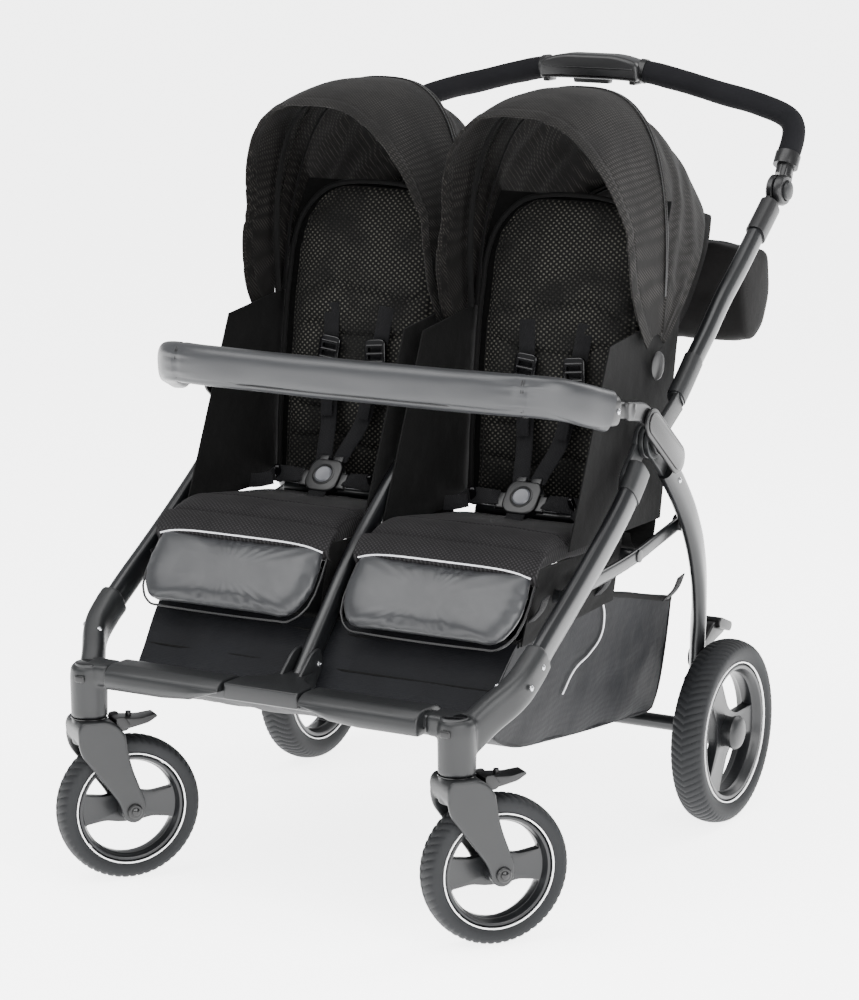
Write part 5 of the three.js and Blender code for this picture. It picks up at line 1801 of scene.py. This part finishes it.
def makeHarness():
    straps, shoulders, slides, loops = [], [], [], []
    for side in (-1, 1):
        x = 160 + side * 42
        front = [
            (x + side * 4, backFace(742) - 1, 742),
            (x, backFace(700) - 5, 700),
            (x - side * 6, backFace(640) - 12, 640),
            (x - side * 14, backFace(580) - 22, 580),
            (160 + side * 18, 34, 545),
            (160 + side * 13, 20, 527),
        ]
        normals = [(0, -1, 0.1)] * 4 + [(0, -0.8, 0.6), (0, -0.7, 0.7)]
        shoulders.append(ribbon(front, normals, harness["width"], harness["thick"], 48))
        tail = [(x - side * 2, backFace(668) - 12, 668), (x - side * 8, backFace(620) - 22, 620),
                (x - side * 12, backFace(580) - 26, 584)]
        shoulders.append(ribbon(tail, [(0, -1, 0.1)] * 3, 19, 1.6, 20))
        slides.append(makeSlide((x - side * 3, backFace(672) - 13.5, 672), side))
        waist = [
            (160 + side * 124, 36, 492),
            (160 + side * 106, 20, 498),
            (160 + side * 76, 2, 504),
            (160 + side * 52, -4, 506),
            (160 + side * 36, 0, 506),
        ]
        straps.append(ribbon(waist,
                             [(0, -0.5, 0.9), (0, -0.8, 0.5), (0, -0.8, 0.5), (0, -0.7, 0.6),
                              (0, -0.6, 0.8)], harness["width"], harness["thick"], 40))
        end = [(160 + side * 84, -4, 498), (160 + side * 100, -12, 494), (160 + side * 116, -14, 492)]
        straps.append(ribbon(end, [(0, -0.8, 0.5)] * 3, 22, 1.6, 16))
        loops.append(brick((160 + side * 78, 1, 504), (9, 8, 29), 2.4, 3, (26, 0, side * -14)))
    crotch = [(160, -46, 479), (160, -34, 480), (160, -24, 484), (160, -16, 491)]
    straps.append(ribbon(crotch, [(0, -0.6, 0.8)] * 4, 28, 2, 20))
    settlePair(joined(*straps), "harnessWaistStraps", webbing, "front_frame", angle=60, common=True)
    settlePair(joined(*loops), "harnessWaistLoops", glossAcetal, "front_frame", angle=40, common=True)
    made = settlePair(joined(*shoulders), "harnessShoulderStraps", webbing, "front_frame", angle=60,
                      common=True)
    for piece, side in zip(made, ("right", "left")):
        piece.parent = None
        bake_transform(piece)
    settlePair(joined(*slides), "harnessSlides", glossAcetal, "backrest", angle=40)
    makeBuckle()


def makeSlide(centre, side):
    # an oblong adjuster with two slots and a ladder of bars
    outline = [(-17, -25, 12), (17, -25, 12), (17, 25, 9), (-17, 25, 9)]
    body = plate(outline, -3.2, 3.2, 1.6, 10)
    holes = [brick((0, 0, z), (30, 22, 6.5), 1.2) for z in (10, -1)]
    cutBy(body, *holes)
    bars = [rod((-2.2, -13, z), (-2.2, 13, z), 1.7, 0, 16) for z in (16.5, 4.5, -7)]
    dish = spun([(0, -3.4), (8, -3.4), (9, -4.6), (7, -4.6), (0, -3.9)], (0, 0, -15.5), 28)
    piece = joined(body, dish, *bars)
    placed(piece, Matrix.Rotation(math.radians(90), 4, "Z"))
    lean = Matrix.Rotation(math.radians(-8), 4, "X") @ Matrix.Rotation(math.radians(side * -6), 4, "Y")
    return placed(piece, Matrix.Translation(at(*centre)) @ lean)


def makeBuckle():
    place = Matrix.Translation(at(*harness["buckle"])) @ Matrix.Rotation(math.radians(harness["tilt"]), 4,
        "X")
    shield = [(-27, -16, 9), (-16, -27, 12), (16, -27, 12), (27, -16, 9), (27, 14, 6), (20, 26, 6),
              (-20, 26, 6), (-27, 14, 6)]
    outline = rounded(shield, 6)
    body = fromFaces([at(p.x, p.y, -8) for p in outline], [tuple(range(len(outline)))])
    take(body)
    bpy.ops.object.mode_set(mode="EDIT")
    bpy.ops.mesh.select_all(action="SELECT")
    bpy.ops.mesh.extrude_region_move(TRANSFORM_OT_translate={"value": (0, 0, 0.015)})
    bpy.ops.mesh.select_all(action="SELECT")
    bpy.ops.mesh.normals_make_consistent(inside=False)
    bpy.ops.object.mode_set(mode="OBJECT")
    softened(body, 3, 4)
    well = spun([(13.4, 4), (16.5, 4), (17, 7.6), (15, 8.2), (13.4, 7.4)], steps=40, axis="Z")
    prongs = [brick((x, 24, 0), (17, 22, 8), 2.4) for x in (-12, 12)]
    wings = [brick((x, -6, 0), (14, 26, 7), 2.4) for x in (-31, 31)]
    buckle = placed(joined(body, well, *prongs, *wings), place)
    settlePair(buckle, "buckle", blackAbs, "front_frame", "buckle", common=True, slot="moulded_black")
    button = spun([(0, 5), (12.6, 5), (13, 7.6), (11, 9.2), (6, 9.0), (0, 8.6)], steps=48, axis="Z")
    settlePair(placed(button, place), "buckleButton", greyAcetal, "buckle_release", "buckle_button",
               slot="buckle_grey")


makeBasket()
makePouch()
makeSeatFrame()
makeGussets()
makeHoodCurtains()
makeHarness()
print("basket, pouch, seat frame and harness")
